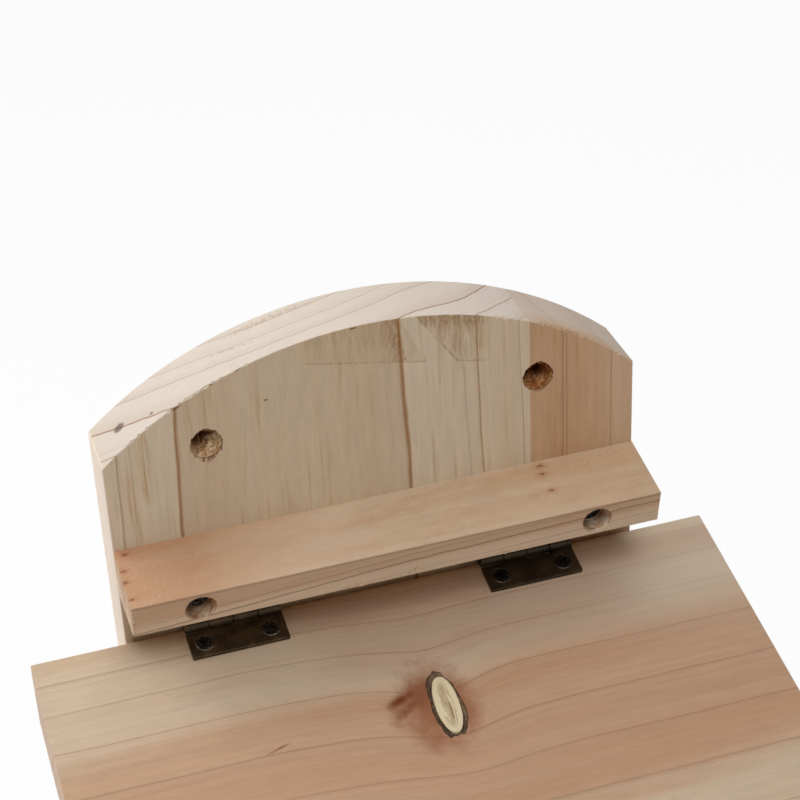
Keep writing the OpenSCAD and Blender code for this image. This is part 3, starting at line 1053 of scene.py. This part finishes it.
# %% Running a tree
def grow(g, name, places, values):
    """Runs a tree at (place, outward[, size]) and returns an object with the plain result."""
    source = bpy.data.meshes.new(name)
    source.from_pydata([place[0] for place in places], [], [])
    outward = source.attributes.new("outward", "FLOAT_VECTOR", "POINT")
    for item, place in zip(outward.data, places):
        item.vector = place[1]
    if len(places[0]) > 2:
        sizes = source.attributes.new("size", "FLOAT", "POINT")
        for item, place in zip(sizes.data, places):
            item.value = place[2]
    maker = add_object(name, source)
    modifier = maker.modifiers.new(name, "NODES")
    modifier.node_group = g.tree
    sockets = {item.name: item.identifier for item in g.tree.interface.items_tree if item.in_out == "INPUT"}
    for label, value in values.items():
        modifier[sockets[label]] = value
    settle(maker)
    bm = bmesh.new()
    bm.from_mesh(maker.data)
    bmesh.ops.remove_doubles(bm, verts=bm.verts, dist=WELD / 2)
    bmesh.ops.recalc_face_normals(bm, faces=bm.faces)
    bm.to_mesh(maker.data)
    bm.free()
    soften(maker.data)
    return maker


print("results are welded at", round(WELD / 2 / MM, 4), "mm")

# %% [markdown]
# A wood screw has a flat head with a narrow lip, a cone under it, and a thread whose radius rises and
# falls once a turn and runs out in a point. Each row of the lathe's grid takes the radius and the depth
# of one ring. Two bars are cut out of the head for the cross recess, and the cross is turned by chance.

# %% The screw's thread
AROUND = 20
THREAD_ROWS = 130
HEAD_ROWS = 4
ROOT_PART = 0.68

screw_tree, given = geometry_tree("wood screw", {
    "Head diameter": "Float", "Shank diameter": "Float", "Length": "Float", "Pitch": "Float",
    "Recess span": "Float", "Recess arm": "Float", "Recess depth": "Float",
    "Seed": "Int", "Material": "Material",
})
grid, angle, row = lathe(screw_tree, AROUND, HEAD_ROWS + THREAD_ROWS)
head_r, crest = given["Head diameter"] / 2, given["Shank diameter"] / 2
length, head_h = given["Length"], head_r - crest
down = head_h + (row - HEAD_ROWS) / (THREAD_ROWS - 1) * (length - head_h)
ridge = (down / given["Pitch"] - angle / math.tau).math("FRACT")
ridge = 1 - (ridge - 0.5).math("ABSOLUTE") * 2
begin = screw_tree.step(down, head_h + crest, head_h + crest * 2)
point = ((length - down) / (crest * 2)).math("MINIMUM", 1.0)
thread = ridge * begin + 0.6 * (1 - begin)
thread_r = crest * point * (ROOT_PART + (1 - ROOT_PART) * thread)

print("the thread has", THREAD_ROWS, "rows of", AROUND, "points")

# %% The screw's head
LIP = 0.12 * MM
in_thread = row.math("GREATER_THAN", HEAD_ROWS - 0.5)
ring_1, ring_2, ring_3 = (row.math("COMPARE", number, 0.1) for number in (1.0, 2.0, 3.0))
radius = ring_1 * (head_r - LIP) + ring_2 * head_r + ring_3 * crest + in_thread * thread_r
depth = ring_2 * LIP + ring_3 * head_h + in_thread * down
settings = {"data_type": "FLOAT", "domain": "POINT"}
sockets = {"Geometry": grid, "Name": "rim", "Value": ring_1 + ring_2}
marked = screw_tree.node("GeometryNodeStoreNamedAttribute", settings, sockets)
turned = turn_on_lathe(screw_tree, marked, angle, radius, depth * -1)

span, arm = given["Recess span"], given["Recess arm"]
bars = []
for wide, tall, deep in ((span, arm, 2.0), (arm, span, 2.3)):
    size = screw_tree.combine(wide, tall, given["Recess depth"] * deep)
    bars.append(screw_tree.node("GeometryNodeMeshCube", None, {"Size": size}))
sockets = {"Mesh 1": turned, "Mesh 2": bars}
screw = screw_tree.node("GeometryNodeMeshBoolean", {"operation": "DIFFERENCE"}, sockets)
end_tree(screw_tree, given, screw, spun(screw_tree, facing_out(screw_tree), given["Seed"]))

# %% [markdown]
# The places of the screws are not typed in again. The points of a screw's solid lie mostly at its head,
# so the point furthest from their middle is the tip, and the points furthest from the tip are the rim of
# the head. Their middle is the place, and the line from the tip to it points outwards.

# %% Places of the screws
RIM_SHARE = 0.9995


def loose_parts(node):
    """Lists of points, one list for each separate solid of a node."""
    bm = welded(node)
    left, parts = set(bm.verts), []
    while left:
        first = min(left, key=lambda vert: vert.index)
        part = connected(first, lambda vert: [edge.other_vert(vert) for edge in vert.link_edges])
        left -= part
        parts.append([vert.co.copy() for vert in sorted(part, key=lambda vert: vert.index)])
    bm.free()
    return parts


def screw_place(points):
    """(middle of the head's top, outward direction) of one screw."""
    middle = sum(points, Vector()) / len(points)
    tip = max(points, key=lambda point: (point - middle).length)
    reach = max((point - tip).length for point in points)
    rim = [point for point in points if (point - tip).length > RIM_SHARE * reach]
    head = sum(rim, Vector()) / len(rim)
    return head, (head - tip).normalized()


def screw_places(nodes):
    return [screw_place(part) for node in nodes for part in loose_parts(node)]


hinge_places = screw_places(["left_hinge_roof_screws"])
print("first hinge screw at", [round(v / MM, 2) for v in hinge_places[0][0]], "mm")

# %% [markdown]
# Black oxide is a thin dull skin on steel. It rubs off first on the rim of the head, where the
# driver slips and the leaf scrapes, so the tree also writes how close each point lies to that rim, and
# the finish reads that number to let the steel show. The paler rim also serves as a painted highlight.

# %% Screws in place
def oxide_finish():
    f = Finish("black oxide")
    g = f.graph
    x, y, z = whole_box.space(g)
    rim = g.node("ShaderNodeAttribute", {"attribute_name": "rim"}, None, "Fac")
    cloud = g.noise(x * 1.5, y * 1.5, z * 1.5, detail=3)
    # The rim is laid paler: partly steel where the oxide has worn, partly a painted highlight.
    worn = g.step(rim + (cloud - 0.5) * 1.6, 0.7, 1.2)
    f.colour = g.mix(g.step(cloud, 0.35, 0.7), paint(56, 54, 53), paint(84, 80, 76))
    f.tint(worn, 134, 126, 116)
    # Painted shade: the screws on the right are darkened, as they lie in the batten's shadow.
    f.scale(1 - g.step(x, 20, 30) * 0.45)
    f.height = cloud * 0.01
    return f.done(0.45 - worn * 0.15 + (cloud - 0.5) * 0.2, metallic=1.0)


black_oxide = oxide_finish()
SMALL = {"Head diameter": 5.0, "Shank diameter": 2.4, "Length": 12.0, "Pitch": 1.1}
LARGE = {"Head diameter": 6.8, "Shank diameter": 3.6, "Length": 40.0, "Pitch": 1.8}
RECESS = {"Recess span": 0.56, "Recess arm": 0.15, "Recess depth": 0.14}
BOX_SCREWS = ["left_back", "right_back", "left_front", "right_front", "left_floor", "right_floor"]
SCREW_SETS = [
    ("lid_hinge_screws", "lid", SMALL, ["left_hinge_roof_screws", "right_hinge_roof_screws"], 3),
    ("back_hinge_screws", "box", SMALL, ["left_hinge_back_screws", "right_hinge_back_screws"], 4),
    ("wall_screws", "box", LARGE, [name + "_screws" for name in BOX_SCREWS], 5),
    ("batten_screws_turned", "box", {**LARGE, "Length": 28.0}, ["batten_screws"], 6),
]
for name, body, size, nodes, seed in SCREW_SETS:
    values = {label: value * MM for label, value in size.items()}
    values.update({label: part * size["Head diameter"] * MM for label, part in RECESS.items()})
    piece = grow(screw_tree, name, screw_places(nodes), {**values, "Seed": seed, "Material": black_oxide})
    belongs(piece, body, "black_screw", *nodes)

# %% [markdown]
# ## Torn grain
#
# A spade bit tears the fibres where it meets them end on, at the top and bottom of the two hanging
# holes. It also broke chips from the rims, and the saw nibbled the front edge of the arch. Both are cut
# out of the boards with a Boolean modifier: a ring of teeth for each hole, and small rough pebbles along
# the arch. Bump could only darken these places, while a cut shows against the light.

# %% Cutting
SMALL_FACE = 0.8 * MM * MM
MUCH_LARGER = 4


def keep_flat(mesh):
    """Marks an edge sharp where a small cut face meets a large one, so that the large one stays flat."""
    bm = bmesh.new()
    bm.from_mesh(mesh)
    for edge in bm.edges:
        areas = sorted(face.calc_area() for face in edge.link_faces)
        if areas[0] < SMALL_FACE and areas[-1] > MUCH_LARGER * areas[0]:
            edge.smooth = False
    bm.to_mesh(mesh)
    bm.free()


def carve(piece, cutter_mesh):
    """Cuts a closed mesh out of a piece."""
    before = len(piece.data.polygons)
    cutter = add_object("cutter", cutter_mesh)
    cut = piece.modifiers.new("cut", "BOOLEAN")
    cut.operation = "DIFFERENCE"
    cut.solver = "EXACT"
    cut.use_self = True
    cut.object = cutter
    settle(piece)
    soften(piece.data)
    keep_flat(piece.data)
    bpy.data.objects.remove(cutter)
    print(piece.name, "went from", before, "to", len(piece.data.polygons), "faces")


print("cut faces count as small below", round(SMALL_FACE / MM / MM, 2), "square mm")

# %% [markdown]
# The teeth of a rim are uneven: each notch has an angle, a half width and a reach, and a little chance is
# added. Three levels make a tooth widest at the face and let it end inside the hole.

# %% Teeth round a rim
RIM_STEPS = 96
RIM_LEVELS = [(0.9, 1.0, 0.0), (-0.25, 0.9, 0.0), (-1.7, 0.0, -0.3)]
LEAST_TOOTH = 0.14


def loft(bm, rings, caps):
    """Joins rings of vertices, and a middle vertex at each end, into a closed form."""
    count = len(rings[0])
    for i in range(count):
        j = (i + 1) % count
        for inner, outer in zip(rings, rings[1:]):
            bm.faces.new((inner[i], outer[i], outer[j], inner[j]))
        bm.faces.new((caps[0], rings[0][i], rings[0][j]))
        bm.faces.new((caps[1], rings[-1][j], rings[-1][i]))


def add_teeth(bm, place, axes, radius, notches, draw):
    """Adds a ring of teeth. axes are aside, up and outward; notches are (angle, half width, reach in mm)."""
    aside, up, outward = axes
    spokes, teeth = [], []
    for step in range(RIM_STEPS):
        swing = math.tau * step / RIM_STEPS
        spokes.append(aside * math.cos(swing) + up * math.sin(swing))
        tooth = LEAST_TOOTH
        for at, half, reach in notches:
            tooth = max(tooth, reach * (1 - abs(math.remainder(swing - at, math.tau)) / half))
        teeth.append(tooth + draw.uniform(-0.12, 0.16))
    rings = []
    for height, share, extra in RIM_LEVELS:
        reaches = [radius + (tooth * share + extra) * MM for tooth in teeth]
        rings.append([bm.verts.new(place + s * r + outward * height * MM) for s, r in zip(spokes, reaches)])
    caps = [bm.verts.new(place + outward * level[0] * MM) for level in (RIM_LEVELS[0], RIM_LEVELS[-1])]
    loft(bm, rings, caps)


print("a rim has", RIM_STEPS, "teeth on", len(RIM_LEVELS), "levels")

# %% Nicks along the arch
ARCH_REACH = 66
NICKS = [(-46, 8, 36), (52, 9, 32)]
half, rise = back_high.x, back_high.z - back_board.origin.z
arch_r = (half * half + rise * rise) / (2 * rise)


def add_nicks(bm, groups, draw):
    """Adds small rough pebbles along the front edge of the arch; groups are (middle, spread, count) in mm."""
    for middle, spread, count in groups:
        for _ in range(count):
            aside = max(-ARCH_REACH, min(ARCH_REACH, draw.gauss(middle, spread))) * MM
            swing = math.asin(aside / arch_r)
            up = back_high.z - arch_r + arch_r * math.cos(swing)
            size = Vector((draw.uniform(0.3, 1.2), draw.uniform(0.25, 0.8), draw.uniform(0.2, 0.55))) * MM
            place = Matrix.Translation((arch_r * math.sin(swing), back_low.y, up))
            matrix = place @ Matrix.Rotation(swing, 4, "Y") @ Matrix.Diagonal((*size, 1))
            bmesh.ops.create_icosphere(bm, subdivisions=1, radius=1.0, matrix=matrix)


print("the arch has a radius of", round(arch_r / MM, 1), "mm")

# %% Chipped rims
BORE_RADIUS = 3.8 * MM
LEFT_NOTCHES = [
    (-1.55, 0.8, 1.7), (-2.35, 0.2, 0.7), (-2.85, 0.16, 0.35), (2.6, 0.2, 0.5), (1.6, 0.9, 0.7),
    (0.95, 0.2, 0.6), (0.1, 0.15, 0.3), (-0.6, 0.25, 0.8),
]
RIGHT_NOTCHES = [(3.1, 0.2, 0.3), (-2.5, 0.2, 0.35), (-1.5, 0.7, 0.75), (1.4, 0.7, 0.5), (0.2, 0.2, 0.3)]
BORE_NOTCHES = [(0.4, 0.3, 0.4), (-0.7, 0.25, 0.4), (2.4, 0.2, 0.3), (-2.3, 0.25, 0.4)]


def closed_mesh(bm, name):
    bmesh.ops.recalc_face_normals(bm, faces=bm.faces)
    mesh = bpy.data.meshes.new(name)
    bm.to_mesh(mesh)
    bm.free()
    return mesh


draw = random.Random(29)
bm = bmesh.new()
for hole, notches in ((hang_left, LEFT_NOTCHES), (hang_right, RIGHT_NOTCHES)):
    add_teeth(bm, hole, (X, Z, -Y), hang_radius, notches, draw)
add_nicks(bm, NICKS, draw)
carve(backboard, closed_mesh(bm, "backboard_chips"))
bm = bmesh.new()
for hole, notches in ((bore_left, BORE_NOTCHES), (bore_right, BORE_NOTCHES[::-1])):
    add_teeth(bm, hole, (X, batten_up, batten_down), BORE_RADIUS, notches, draw)
carve(batten, closed_mesh(bm, "batten_chips"))

# %% [markdown]
# Inside a drilled hole the torn fibres stand out as lumps and flaps. A lining stands for them: a closed
# ring in section, made on the same lathe as the screws and pressed inwards by noise that is strong where
# the bit met end grain. A sheet of faces would be simpler, but a closed ring is a proper solid.

# %% Bore lining
LINING_ROUND = 56
LINING_ROWS = 30
LINING_BACK = 0.35 * MM
INNER_ROWS = LINING_ROWS - 3

bore_tree, given = geometry_tree("torn bore", {
    "Radius": "Float", "Start": "Float", "Depth": "Float", "Tear": "Float", "Flap": "Float",
    "Seed": "Int", "Material": "Material",
})
grid, angle, row = lathe(bore_tree, LINING_ROUND, LINING_ROWS)
before_back = row.math("LESS_THAN", INNER_ROWS + 0.5)
inside = row.math("GREATER_THAN", 0.5) * before_back
drop = ((row - 1) / (INNER_ROWS - 1)).math("MAXIMUM", 0.0) * before_back
round_x, round_y = angle.math("COSINE"), angle.math("SINE")
x_mm, y_mm = (part * given["Radius"] / MM for part in (round_x, round_y))
deep_mm = drop * given["Depth"] / MM
salt = given["Seed"] * 7.3
chunks = bore_tree.noise(x_mm * 0.4 + salt, y_mm * 0.22, deep_mm * 0.4, detail=3)
chips = bore_tree.noise(x_mm * 1.7, y_mm * 0.7 + salt, deep_mm * 1.5, detail=2)
push = (chunks - 0.42) * (0.5 + round_y.math("ABSOLUTE")) * 2.4 + (chips - 0.5) * 0.7
flap_side = bore_tree.step(round_x * 0.85 - round_y * 0.5, 0.0, 0.9)
flap = given["Flap"] * flap_side * (deep_mm / 3.5).math("MINIMUM", 1.0) * (0.5 + chunks)
wall = given["Radius"] - 0.05 * MM - given["Tear"] * push.math("MAXIMUM", 0.0) - flap
ends = row.math("COMPARE", 0.0, 0.1) + row.math("GREATER_THAN", LINING_ROWS - 1.5)
back_row = row.math("COMPARE", LINING_ROWS - 2.0, 0.1)
radius = inside * wall + ends * (given["Radius"] + 0.02 * MM) + back_row * (given["Radius"] + LINING_BACK)
height = given["Start"] * -1 - inside * drop * given["Depth"] - back_row * given["Depth"]
lining = turn_on_lathe(bore_tree, grid, angle, radius, height)
end_tree(bore_tree, given, lining, facing_out(bore_tree))

# %% [markdown]
# Torn wood is a felt of fibre bundles, pale where they stand free and brown in between, with crumbs of
# dust. Little light gets into a hole, and the renderer's own shade is not enough for such fine felt, so
# the finish itself darkens with depth and on the side that is turned from the window.

# %% Torn wood finishes
BORE_LIT = (1.3, 0.1)


def torn_finish(name, hole, pale, dark, crumbs=0.55, shadow=0.7, lit=(0.7, -0.7)):
    """Felt in a hole; lit is the direction, aside and up, of the side that catches light."""
    f = Finish(name)
    g = f.graph
    x, y, z = whole_box.space(g)
    bundle = g.ripple(x * 0.6, y * 0.6, z * 0.35, detail=3)
    hair = g.ripple(x * 4, y * 4, z * 1.0, detail=2)
    f.colour = g.mix(g.step(bundle + hair * 0.35, -0.15, 0.15), paint(*dark), paint(*pale))
    crumb = g.noise(x * 1.5, y * 1.5, z * 1.5, detail=4)
    f.tint(g.step(crumb, 0.52, 0.64) * crumbs, 98, 60, 28)
    toward = (x - hole.x / MM) * lit[0] + (z - hole.z / MM) * lit[1]
    shaded = g.step(toward + bundle * 5, 2.2, -3.0)
    deep = g.step(y - hole.y / MM, 2.5, 13.5) * 0.7
    f.tint(shaded.math("MAXIMUM", deep) * shadow, 108, 68, 32)
    f.height = hair * 0.12 + bundle * 0.2 - crumb * 0.3
    return f.done(0.8 + hair * 0.2, specular_level=0.0)


torn_pale = torn_finish("torn pale wood", hang_left, (250, 222, 184), (216, 166, 116))
torn_red = torn_finish("torn red wood", hang_right, (228, 168, 114), (162, 100, 56))
torn_left = torn_finish(
    "bored batten left", bore_left, (246, 222, 192), (216, 168, 124), 0.15, 0.6, BORE_LIT)
torn_right = torn_finish(
    "bored batten right", bore_right, (252, 236, 214), (232, 194, 152), 0.1, 0.65, BORE_LIT)

# %% [markdown]
# Four linings go in: two through the backboard, two down to the heads of the batten's screws. Each has
# its own start below the face, tear, flap and seed, as no two holes tear alike.

# %% Torn holes
sunk = (screws_low.y - bore_y) / MM
HOLES = [
    ("left_hanging_bore", "back_wood", torn_pale, hang_left, hang_radius, 0.7, plank, 1.3, 2.2, 2),
    ("right_hanging_bore", "back_wood", torn_red, hang_right, hang_radius, 0.5, plank, 0.9, 1.0, 5),
    ("left_counterbore", "batten_wood", torn_left, bore_left, BORE_RADIUS, 1.1, sunk, 0.4, 0.4, 7),
    ("right_counterbore", "batten_wood", torn_right, bore_right, BORE_RADIUS, 1.1, sunk, 0.3, 0.2, 9),
]
for name, slot, finish, place, radius, start, bottom, tear, flap, seed in HOLES:
    sizes = {"Start": start, "Depth": bottom - start, "Tear": tear, "Flap": flap}
    values = {label: size * MM for label, size in sizes.items()}
    values.update({"Radius": radius, "Seed": seed, "Material": finish})
    belongs(grow(bore_tree, name, [(place, -Y)], values), "box", slot)

# %% [markdown]
# Single fibres stand out of torn wood like whiskers. Hair curves would be lost in an export, so a whisker
# is a thin tapered strand of real faces: a bent line, swept with a small square that shrinks to its tip.

# %% Whisker tree
WHISKER_MM = 1.3
whisker_tree, given = geometry_tree("wood whisker", {
    "Length": "Float", "Thickness": "Float", "Bend": "Float", "Seed": "Int", "Material": "Material",
})
path = whisker_tree.node("GeometryNodeCurveQuadraticBezier", None, {
    "Resolution": 5,
    "Start": (0, 0, 0),
    "Middle": whisker_tree.combine(0.0, 0.0, given["Length"] * 0.5),
    "End": whisker_tree.combine(given["Bend"], 0.0, given["Length"]),
})
taper = 1 - whisker_tree.node("GeometryNodeSplineParameter") * 0.85
path = whisker_tree.node("GeometryNodeSetCurveRadius", None, {"Curve": path, "Radius": taper})
sockets = {"Resolution": 4, "Radius": given["Thickness"] / 2}
section = whisker_tree.node("GeometryNodeCurvePrimitiveCircle", None, sockets)
sockets = {"Curve": path, "Profile Curve": section, "Fill Caps": True}
strand = whisker_tree.node("GeometryNodeCurveToMesh", None, sockets)
turned = spun(whisker_tree, facing_out(whisker_tree), given["Seed"])
longer = whisker_tree.combine(1.0, 1.0, read_point(whisker_tree, "size", "FLOAT"))
end_tree(whisker_tree, given, strand, turned, longer)

# %% [markdown]
# In the hanging holes the whiskers grow inwards from the top and bottom of the wall. On the batten they
# stand on the sawn front face, in tufts where the saw tore it. Chance with a fixed seed places them.

# %% Whiskers in the holes
def whiskers(name, roots, slot, finish, seed):
    """Strands at (root, direction, size) on the standing body."""
    sizes = {"Length": WHISKER_MM, "Thickness": 0.16, "Bend": 0.35 * WHISKER_MM}
    values = {label: size * MM for label, size in sizes.items()}
    belongs(grow(whisker_tree, name, roots, {**values, "Seed": seed, "Material": finish}), "box", slot)


draw = random.Random(17)
bore_roots = []
for place, count in ((hang_left, 9), (hang_right, 5)):
    for _ in range(count):
        swing = draw.choice((1, -1)) * math.pi / 2 + draw.gauss(0, 0.55)
        outward = Vector((math.cos(swing), 0, math.sin(swing)))
        deep = draw.uniform(0.2, 7.0) * MM
        lean = Vector((draw.gauss(0, 0.35), draw.gauss(-0.2, 0.4), 0))
        root = place + outward * hang_radius + Y * deep
        bore_roots.append((root, (lean - outward).normalized(), draw.uniform(0.5, 1.5)))
whiskers("bore_whiskers", bore_roots, "back_wood", torn_pale, 11)

# %% Whiskers on the batten
fuzz = torn_finish("sawn fuzz", hang_left, (252, 234, 206), (226, 194, 156), 0.0)
TUFTS_MM = [
    (-69.5, 14, 0.15, 6.0), (-11, 6, 1.2, 2.2), (2, 3, 0.8, 1.5), (27.5, 9, 1.1, 2.5), (-37, 2, 0.2, 8.0),
]
TUFT_LIMIT = 69.7
edge_roots = []
for middle, count, spread, height in TUFTS_MM:
    for _ in range(count):
        along = max(-TUFT_LIMIT, min(TUFT_LIMIT, middle + draw.gauss(0, spread)))
        root = batten_board.point(along, front_across, front_deep - draw.uniform(0.3, height))
        lean = batten_up * draw.uniform(-0.1, 1.0) + X * draw.gauss(0, 0.6)
        lean = lean + batten_down * draw.uniform(0.1, 0.4)
        edge_roots.append((root, lean.normalized(), draw.uniform(0.4, 1.4)))
whiskers("batten_whiskers", edge_roots, "batten_wood", fuzz, 12)

# %% [markdown]
# ## The knot in the lid
#
# The knot is the end of a dead branch: a cream core, its own fine streaks, and round it a collar of
# grey bark that has shrunk and crumbled. It is a separate piece in a shallow pocket, so that the crack
# between bark and lid is real. The pocket is cut by a Boolean modifier with the knot's own ragged
# outline, and the top is a polar grid whose height follows the core, the crack and the bark.

# %% Knot shape
KNOT_HALF = (4.2, 10.4)
CORE_HALF = (3.15, 9.1)
KNOT_LEAN = math.radians(-3.4)
KNOT_STEPS = 120
KNOT_DEEP = 2.6
FULLNESS = 0.88


def rounded(value):
    """Pushes a sine or cosine outwards, which makes an ellipse fuller."""
    return math.copysign(abs(value) ** FULLNESS, value)


def knot_point(swing, reach, height):
    """A point of the knot: an angle round it, 1 at the core's edge, 2 at the bark's, and mm above the lid."""
    c, s = math.cos(KNOT_LEAN), math.sin(KNOT_LEAN)
    core, bark = min(reach, 1.0), max(reach - 1.0, 0.0)
    waves = 0.05 * math.sin(3 * swing + 1.0) + 0.03 * math.sin(7 * swing) + 0.018 * math.sin(17 * swing)
    thick = bark * (1 + 0.3 * math.cos(2 * (swing - 0.9)) + 0.25 * math.cos(swing - 2.6))
    half = [(1 + bark * waves) * (core * inner + thick * (outer - inner))
            for inner, outer in zip(CORE_HALF, KNOT_HALF)]
    aside, below = half[0] * rounded(math.cos(swing)), half[1] * rounded(math.sin(swing))
    return lid_board.point(KNOT_AT[0] + aside * c + below * s, KNOT_AT[1] - aside * s + below * c, -height)


def knot_shell(name, levels):
    """A closed form from rings of (reach, height function), the last of which is its flat bottom."""
    bm = bmesh.new()
    swings = [math.tau * step / KNOT_STEPS for step in range(KNOT_STEPS)]
    rings = []
    for reach, height in levels:
        rings.append([bm.verts.new(knot_point(swing, reach, height(swing, reach))) for swing in swings])
    caps = [bm.verts.new(knot_point(0, 0, height(0, 0))) for reach, height in (levels[0], levels[-1])]
    loft(bm, rings, caps)
    return closed_mesh(bm, name)


def level_at(height):
    """The height function of a flat ring."""
    return lambda a, r: height


pocket_levels = [(2.0, level_at(1.0)), (2.0, level_at(-KNOT_DEEP))]
carve(lid, knot_shell("knot_pocket", pocket_levels))


# %% Knot in its pocket
def core_height(a, r):
    return -0.06 + 0.05 * math.sin(3 * a + 7 * r)


def bark_height(a, r):
    rough = math.sin(7 * a) * math.sin(29 * a + 9 * r) + 0.6 * math.sin(53 * a + 31 * r)
    return -0.22 + 0.16 * rough


knot_levels = [(reach, core_height) for reach in (0.15, 0.35, 0.55, 0.75, 0.9, 0.985)]
knot_levels += [(1.06, level_at(-0.75)), (1.15, level_at(-0.5))]
knot_levels += [(reach, bark_height) for reach in (1.25, 1.4, 1.55, 1.7, 1.82)]
knot_levels += [(1.9, level_at(-0.7)), (1.9, level_at(-KNOT_DEEP))]
knot = add_object("lid_knot", knot_shell("lid_knot", knot_levels))
soften(knot.data)
print("knot of", len(knot.data.polygons), "faces in a pocket of", KNOT_DEEP, "mm")

# %% [markdown]
# The core is dull cream with a browner heart and a short crack, all drawn out along the branch's own
# streaks. The bark is dark with paler lumps. The same oval that shapes the knot tells the two apart.

# %% Knot finish
def knot_finish():
    f = Finish("knot wood")
    g, step = f.graph, f.graph.step
    along, across, depth = lid_board.space(g)
    aside, below = along - KNOT_AT[0], across - KNOT_AT[1]
    reach = oval(g, aside, below, *CORE_HALF, -KNOT_LEAN)
    streak = g.ripple(aside * 1.5, below * 0.2 + aside * 0.1, depth * 0.2, detail=4, roughness=0.65)
    grit = g.noise(aside * 2.4, below * 2.4, depth * 2.4, detail=4)
    off_heart = aside + below * 0.06
    heart = step(off_heart.math("ABSOLUTE") / CORE_HALF[0] + streak * 2.4, 0.6, 0.1) * step(reach, 0.95, 0.6)
    f.colour = g.mix(heart * 0.6, paint(232, 214, 178), paint(150, 114, 68))
    crack = step((off_heart - 0.5 + streak).math("ABSOLUTE"), 0.22, 0.08)
    f.tint(crack * step(below, -1.5, 0.5) * step(below, 5.5, 4.0) * 0.8, 92, 62, 30)
    f.tint(step(reach, 0.85, 1.0) * 0.3, 196, 166, 120)
    core = f.colour
    f.colour = g.mix(step(grit, 0.35, 0.7), paint(48, 34, 22), paint(112, 86, 60))
    lump = g.noise(aside * 0.7, below * 0.45, 6.0, detail=3)
    f.tint(step(lump + aside * 0.03 - below * 0.012, 0.48, 0.66) * 0.6, 160, 128, 98)
    in_bark = step(reach + (grit - 0.5) * 0.08, 1.0, 1.04)
    f.colour = g.mix(in_bark, core, f.colour)
    f.scale(0.85 + grit * 0.3)
    f.height = streak * 0.06 + (grit - 0.5) * in_bark * 0.25
    return f.done(0.5 + in_bark * 0.35)


knot.data.materials.append(knot_finish())
belongs(knot, "lid", "roof_wood")

# %% [markdown]
# ## The stage
#
# A pale floor and white surroundings, as for a catalogue. Both look white to the camera and to shiny
# metal through the Light Path node, and light the box with less, so that wood shows about the colour
# that is written. A plain white world would wash out the shade in the holes.

# %% Floor and world
AMBIENT = 0.03
FLOOR_HALF = 4.0
FLOOR_GLOW = 0.93


def seen_directly(g):
    """1 for rays from the camera and for reflections, 0 for the light that falls on things."""
    path = g.node("ShaderNodeLightPath", out="Is Camera Ray")
    return path.math("MAXIMUM", path.out("Is Glossy Ray")).math("MAXIMUM", path.out("Is Transmission Ray"))


world = bpy.data.worlds.new("studio")
world.use_nodes = True
scene.world = world
background = world.node_tree.nodes["Background"]
background.inputs["Color"].default_value = (1, 1, 1, 1)
strength = AMBIENT + seen_directly(Graph(world.node_tree)) * (1 - AMBIENT)
world.node_tree.links.new(strength.socket, background.inputs["Strength"])

floor_mesh = bpy.data.meshes.new("studio_floor")
corners = [(-1, -1), (1, -1), (1, 1), (-1, 1)]
floor_mesh.from_pydata([(x * FLOOR_HALF, y * FLOOR_HALF, 0) for x, y in corners], [], [(0, 1, 2, 3)])
floor = add_object("studio_floor", floor_mesh)
f = Finish("studio floor")
f.shader.inputs["Base Color"].default_value = (0.92, 0.92, 0.92, 1)
f.shader.inputs["Roughness"].default_value = 0.9
glow = f.graph.node("ShaderNodeEmission", None, {"Color": (1, 1, 1, 1), "Strength": 1.0})
blend = f.graph.node("ShaderNodeMixShader", None, {0: seen_directly(f.graph) * FLOOR_GLOW, 2: glow})
f.graph.tree.links.new(f.shader.outputs[0], blend.socket.node.inputs[1])
f.graph.tree.links.new(blend.socket, f.graph.tree.nodes["Material Output"].inputs["Surface"])
floor_mesh.materials.append(f.material)
print("floor of", 2 * FLOOR_HALF, "m")

# %% [markdown]
# Three soft lamps stand for the room: a window at the left and behind, a wide pale ceiling, and a light
# from the front. Large squares give the soft shadows of daylight, which a small lamp would not.

# %% Lamps
AIM = Vector((0, 0, 0.25))
LAMPS = {
    "window": ((-0.66, 0.55, 0.52), 0.9, 0.7, 5.3),
    "ceiling": ((0.1, 0.15, 1.0), 1.6, 1.6, 9.0),
    "front": ((0.05, -0.55, 0.83), 2.0, 1.0, 16.8),
}
for name, (toward, away, size, energy) in LAMPS.items():
    toward = Vector(toward).normalized()
    lamp = bpy.data.objects.new(name, bpy.data.lights.new(name, "AREA"))
    scene.collection.objects.link(lamp)
    lamp.data.shape = "SQUARE"
    lamp.data.size = size
    lamp.data.energy = energy
    lamp.visible_camera = False
    lamp.location = AIM + toward * away
    lamp.rotation_mode = "QUATERNION"
    lamp.rotation_quaternion = (-toward).to_track_quat("-Z", "Y")
    print(name, "at", [round(v, 2) for v in lamp.location])
